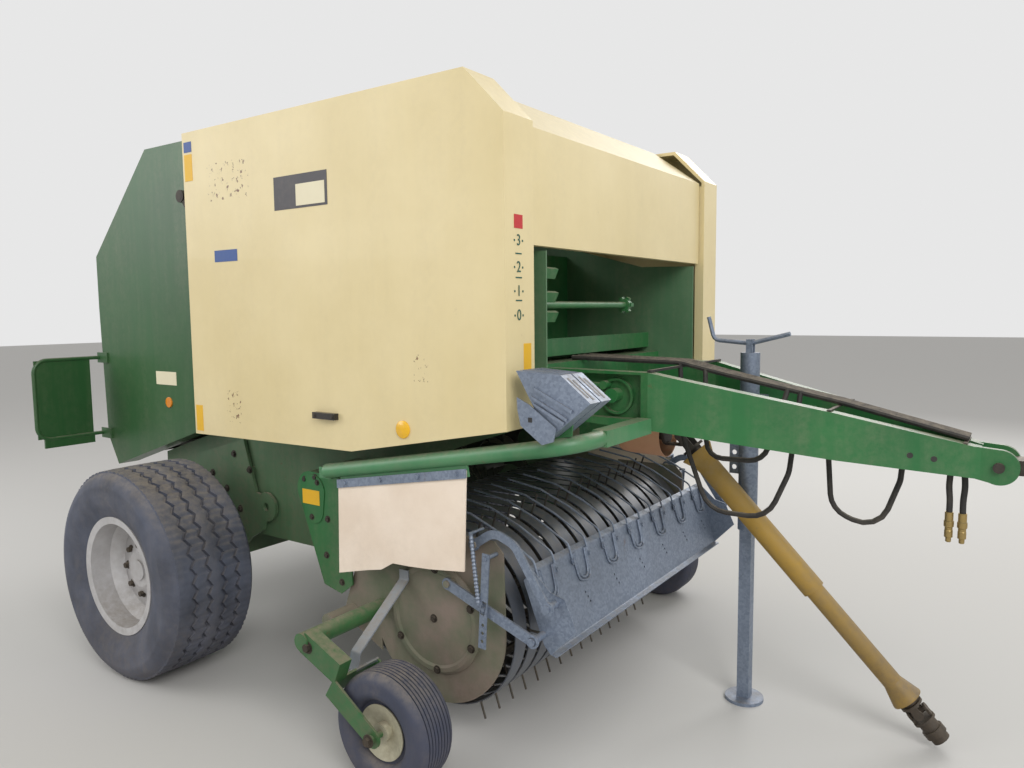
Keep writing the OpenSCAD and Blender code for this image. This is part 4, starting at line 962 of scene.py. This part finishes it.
@dataclass
class Chamber:
    """The fixed frame: chamber walls, axle, rollers and intake."""

    wall: float = 606.0
    bracket_out: float = 20.0
    bracket_bolts: tuple = ((225, 800), (120, 860), (150, 620), (60, 700), (-40, 760))
    clamp: float = 817.0
    clamp_rear: tuple = (981, 868)
    clamp_rise: float = 0.176
    clamp_bolts: tuple = (1020, 1190, 1360, 1520)

    def build(self, frame: dict) -> None:
        """Dresses the frame and adds its fasteners."""
        green = Look.GREEN.make()
        dress(frame, green, "chamber_cross_members", "intake_side_boxes", "gearbox", "wrap_unit",
              "chock_holder")
        dress(frame, Look.DUSTY.make(), "chamber_side_plates", "axle_beam")
        dress(frame, Look.BOW.make(), "guard_bows")
        dress(frame, Look.ROLLER.make(), "front_press_rollers", "feed_rotor")
        dress(frame, Look.BELTING.make(), "side_flaps")
        dress(frame, zinc(), "flap_clamps", "wheel_chocks")
        bolts = [(spot(x, side * (self.wall + self.bracket_out), z), outward(side)) for side in HANDS
                 for x, z in self.bracket_bolts]
        BoltTree(head=11, height=9).stand("axle_bracket_bolts", "chassis", bolts, Look.FORGED.make())
        x0, z0 = self.clamp_rear
        clamp = [(spot(x, side * self.clamp, z0 + (x - x0) * self.clamp_rise), outward(side))
                 for side in HANDS for x in self.clamp_bolts]
        BoltTree(head=8, height=6).stand("flap_clamp_bolts", "chassis", clamp, zinc())


@dataclass
class Chocks:
    """The two wheel chocks' ribs and the painted shade in their slots, and the plate that holds them with the
    painted shade of its square hole.
    """

    face: float = -842.0
    plate: tuple = ((1778, 1222), (1820, 1203), (1910, 1141), (1901, 1102), (1863, 1090), (1791, 1140),
                    (1780, 1186))
    ribs: tuple = ((1826, 1229, 1945, 1171), (1833, 1209, 1935, 1160), (1834, 1254, 1961, 1195))
    rib_high: float = 9.0
    rib_out: float = 0.007
    plate_thick: float = 0.004
    hole: tuple = (1824, 1159)
    hole_half: float = 7.0
    slot_rim: float = 4.0
    slope: tuple = (1921.0, 1290.0, 2016.0, 1216.0)
    slots: tuple = ((-832.0, -798.0), (-769.0, -735.0))

    def slot(self, k: int, span: tuple, down: tuple) -> None:
        """Paints the shade inside one slot on the slanted end of a chock as a thin black sheet."""
        x0, z0, x1, z1 = self.slope
        ends = [(x0 + t * (x1 - x0), z0 + t * (z1 - z0)) for t in down]
        corners = [spot(ends[0][0], span[0], ends[0][1]), spot(ends[0][0], span[1], ends[0][1]),
                   spot(ends[1][0], span[1], ends[1][1]), spot(ends[1][0], span[0], ends[1][1])]
        out = Vector((z0 - z1, 0, x1 - x0)).normalized() * 0.0008
        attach(prism_piece(f"chock_slot_shade_{k}", corners, out, Look.BLACK.make()), "chassis")

    def build(self, frame: dict) -> None:
        """Adds the plate with its square hole painted as shade, the ribs and the slots' painted shade."""
        sheet = zinc()
        plate = prism_piece("chock_plate", [spot(x, self.face - 4, z) for x, z in self.plate],
                            Vector((0, -self.plate_thick, 0)), sheet)
        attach(plate, "chassis")
        # A thin black square over the plate's hole: painted shade inside the hole.
        x, z = self.hole
        half = self.hole_half
        hole = box_piece("chock_plate_hole_shade", (x - half, self.face - 8.6, z - half),
                         (x + half, self.face - 8, z + half), Look.BLACK.make(), 0.1)
        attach(hole, "chassis")
        for k, (x0, z0, x1, z1) in enumerate(self.ribs):
            corners = [spot(x0, self.face, z0), spot(x1, self.face, z1),
                       spot(x1 - 3, self.face, z1 - self.rib_high),
                       spot(x0 + 3, self.face, z0 - self.rib_high)]
            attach(prism_piece(f"chock_rib_{k}", corners, Vector((0, -self.rib_out, 0)), sheet), "chassis")
        # The slots are drawn as thin black sheets of painted shade.
        for k, span in enumerate(self.slots):
            middle = (span[0] + span[1]) / 2
            self.slot(2 * k, (span[0] + self.slot_rim, middle - self.slot_rim), (0.12, 0.82))
            self.slot(2 * k + 1, (middle + self.slot_rim, span[1] - self.slot_rim), (0.2, 0.9))


@dataclass
class Tailgate:
    """The tailgate with its rollers, lamps and plain plate."""

    half: float = 700.0
    reflector: tuple = (-235, 1073)
    plate_low: tuple = (-330, 1152)
    plate_high: tuple = (-170, 1212)

    def build(self, frame: dict) -> None:
        """Dresses the tailgate and adds its reflectors and bare plate."""
        dress(frame, Look.TAILGATE.make(), "tailgate_sides", "tailgate_frame", "light_carriers")
        dress(frame, Look.ROLLER.make(), "tailgate_rollers")
        dress(frame, Look.LAMP.make(), "rear_lamps")
        dress(frame, Look.BLACK.make(), "lift_barrels")
        dress(frame, Look.FORGED.make(), "lift_rods")
        x, z = self.reflector
        for side in HANDS:
            reflector(f"tailgate_reflector_{HANDS[side]}", "tailgate", spot(x, side * self.half, z), side,
                      (24, 22), Look.AMBER.make())
        (x0, z0), (x1, z1) = self.plate_low, self.plate_high
        stick("plain_plate", "tailgate", (x0, -self.half - 1.2, z0), (x1, -self.half, z1),
              Look.LABEL_CREAM.make())


@dataclass
class Pickup:
    """The pickup: side plates, bands, tines, gauge wheels and wind guard."""

    plate: float = 726.0
    shield: float = 744.0
    box: float = 740.0
    fork: float = 1098.0
    guard_top: tuple = (1730.0, 654.0)
    guard_low: tuple = (1800.0, 405.0)
    guard_out: tuple = (0.963, 0.271)
    clips: int = 7
    clip_pitch: float = 212.0
    clip_half: float = 53.0
    shield_centre: tuple = (1350, 430)
    shield_ring: float = 176.0
    shield_turns: tuple = (0.4, 1.5, 2.6, 3.7, 4.8, 5.9)
    box_bolts: tuple = ((716, 838), (775, 852), (838, 700), (826, 560), (905, 470), (925, 640), (915, 820))
    gauge_axle: tuple = (1405, 188)
    arm_pivot: tuple = (1130, 407)
    oval: tuple = ((762, 798, 64), (766, 724, 50))
    oval_bolts: tuple = ((789, 834), (754, 698))
    oval_thick: float = 3.5

    def on_guard(self, down: float, y: float, out: float) -> Vector:
        """A place on the wind guard's sheet.

        Args:
            down: the part of the way from the sheet's top edge to its lower one.
            y: millimetres to the left.
            out: millimetres in front of the sheet.

        Returns:
            The place in metres.
        """
        x = self.guard_top[0] + down * (self.guard_low[0] - self.guard_top[0])
        z = self.guard_top[1] + down * (self.guard_low[1] - self.guard_top[1])
        return spot(x + out * self.guard_out[0], y, z + out * self.guard_out[1])

    def fasteners(self) -> None:
        """Adds the bolts of the shields, boxes, gauge wheels and wind guard."""
        steel = Look.FORGED.make()
        (x0, z0), ring = self.shield_centre, self.shield_ring
        shield = [(spot(x0 + ring * math.cos(a), side * self.shield, z0 + ring * math.sin(a)), outward(side))
                  for side in HANDS for a in self.shield_turns]
        shield += [(spot(x0, side * (self.shield - 6), z0), outward(side)) for side in HANDS]
        BoltTree(head=10, height=8).stand("shield_bolts", "pickup", shield, steel)
        boxes = [(spot(x, side * self.box, z), outward(side)) for side in HANDS
                 for x, z in self.box_bolts]
        BoltTree(head=9, height=7).stand("intake_box_bolts", "chassis", boxes, steel)
        (x0, z0), (x1, z1) = self.gauge_axle, self.arm_pivot
        axles = [(spot(x0, side * (self.fork + 14), z0), outward(side)) for side in HANDS]
        axles += [(spot(x1, side * self.fork, z1), outward(side)) for side in HANDS]
        BoltTree(head=14, height=12).stand("gauge_axle_nuts", "pickup", axles, steel)
        front = Vector((self.guard_out[0], 0, self.guard_out[1]))
        first = (self.clips - 1) // 2
        clips = [(self.on_guard(0.11, (i - first) * self.clip_pitch + dy, 10), front)
                 for i in range(self.clips) for dy in (-self.clip_half, self.clip_half)]
        BoltTree(head=8, height=6).stand("rod_clip_bolts", "wind_guard", clips, zinc())

    def oval_covers(self) -> None:
        """Bolts the oval cover plate on each intake box."""
        (x0, z0, r0), (x1, z1, r1) = self.oval
        turns = [math.pi * k / 16 for k in range(17)]
        outline = [(x0 + r0 * math.cos(a), z0 + r0 * math.sin(a)) for a in turns]
        outline += [(x1 - r1 * math.cos(a), z1 - r1 * math.sin(a)) for a in turns]
        for side, hand in HANDS.items():
            corners = [spot(x, side * self.box, z) for x, z in outline]
            piece = prism_piece(f"oval_cover_{hand}", corners, Vector((0, side * self.oval_thick / 1000, 0)),
                                Look.GREEN.make())
            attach(piece, "chassis")
        bolts = [(spot(x, side * (self.box + self.oval_thick), z), outward(side)) for side in HANDS
                 for x, z in self.oval_bolts]
        BoltTree(head=8, height=6).stand("oval_cover_bolts", "chassis", bolts, Look.FORGED.make())

    def build(self, frame: dict) -> None:
        """Dresses the pickup and adds its fasteners and plain labels."""
        dress(frame, Look.SHABBY.make(), "pickup_side_plates")
        dress(frame, Look.GAUGE.make(), "gauge_arms")
        dress(frame, Look.BAND.make(), "stripper_bands")
        dress(frame, Look.TINE.make(), "tine_reel")
        dress(frame, Look.SMALL_TYRE.make(), "gauge_tyre_right", "gauge_tyre_left")
        dress(frame, Look.CREAM_RIM.make(), "gauge_rim_right", "gauge_rim_left")
        dress(frame, zinc(), "wind_guard", "guard_rods", "guard_arms", "guard_links", "guard_stays")
        self.fasteners()
        self.oval_covers()
        face = -self.box - self.oval_thick
        stick("label_yellow_intake", "chassis", (706, face - 1.2, 746), (800, face, 802),
              Look.LABEL_YELLOW.make())


@dataclass
class Hitch:
    """Drawbar, towing eye, jack and hoses."""

    holes: tuple = ((2701.0, 115.5, 1026.0), (2763.0, 97.0, 1018.0))
    lean: tuple = (0.2864, 0.9581)

    def build(self, frame: dict) -> None:
        """Dresses the hitch and paints the shade in the drawbar arms' holes."""
        dress(frame, Look.GREEN.make(), "drawbar")
        dress(frame, Look.FORGED.make(), "towing_eye")
        dress(frame, zinc(), "jack_sleeve", "jack_leg")
        dress(frame, Look.RUBBER.make(), "hose_bundle")
        dress(frame, Look.SLEEVE.make(), "pto_guard_sleeve")
        # Thin black discs on the drawbar arms: painted shade inside their holes.
        for k, (x, y, z) in enumerate(self.holes):
            for side in HANDS:
                piece = disc_piece(f"arm_hole_shade_{k}_{HANDS[side]}", spot(x, side * y, z),
                                   Vector((self.lean[0], side * self.lean[1], 0)),
                                   [(0, 0), (9, 0), (9, 0.6), (0, 0.6)], Look.BLACK.make(), 20)
                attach(piece, "chassis")


class DriveShaft:
    """The drive shaft in its yellow guard."""

    def build(self, frame: dict) -> None:
        """Dresses the shaft."""
        dress(frame, Look.YELLOW.make(), "pto_rear_half", "pto_front_half")
        dress(frame, Look.FORGED.make(), "pto_joint", "pto_rear_yoke", "pto_front_yoke")


def main() -> None:
    """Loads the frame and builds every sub-assembly."""
    logging.basicConfig(level=logging.INFO, format="%(name)s: %(message)s")
    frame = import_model()
    Studio().set_up()
    FreeHoses().build(frame)
    for group in (Covers(), Chamber(), Chocks(), Tailgate(), MainWheels(), Pickup(), Hitch(), DriveShaft()):
        group.build(frame)


if __name__ == "__main__":
    main()
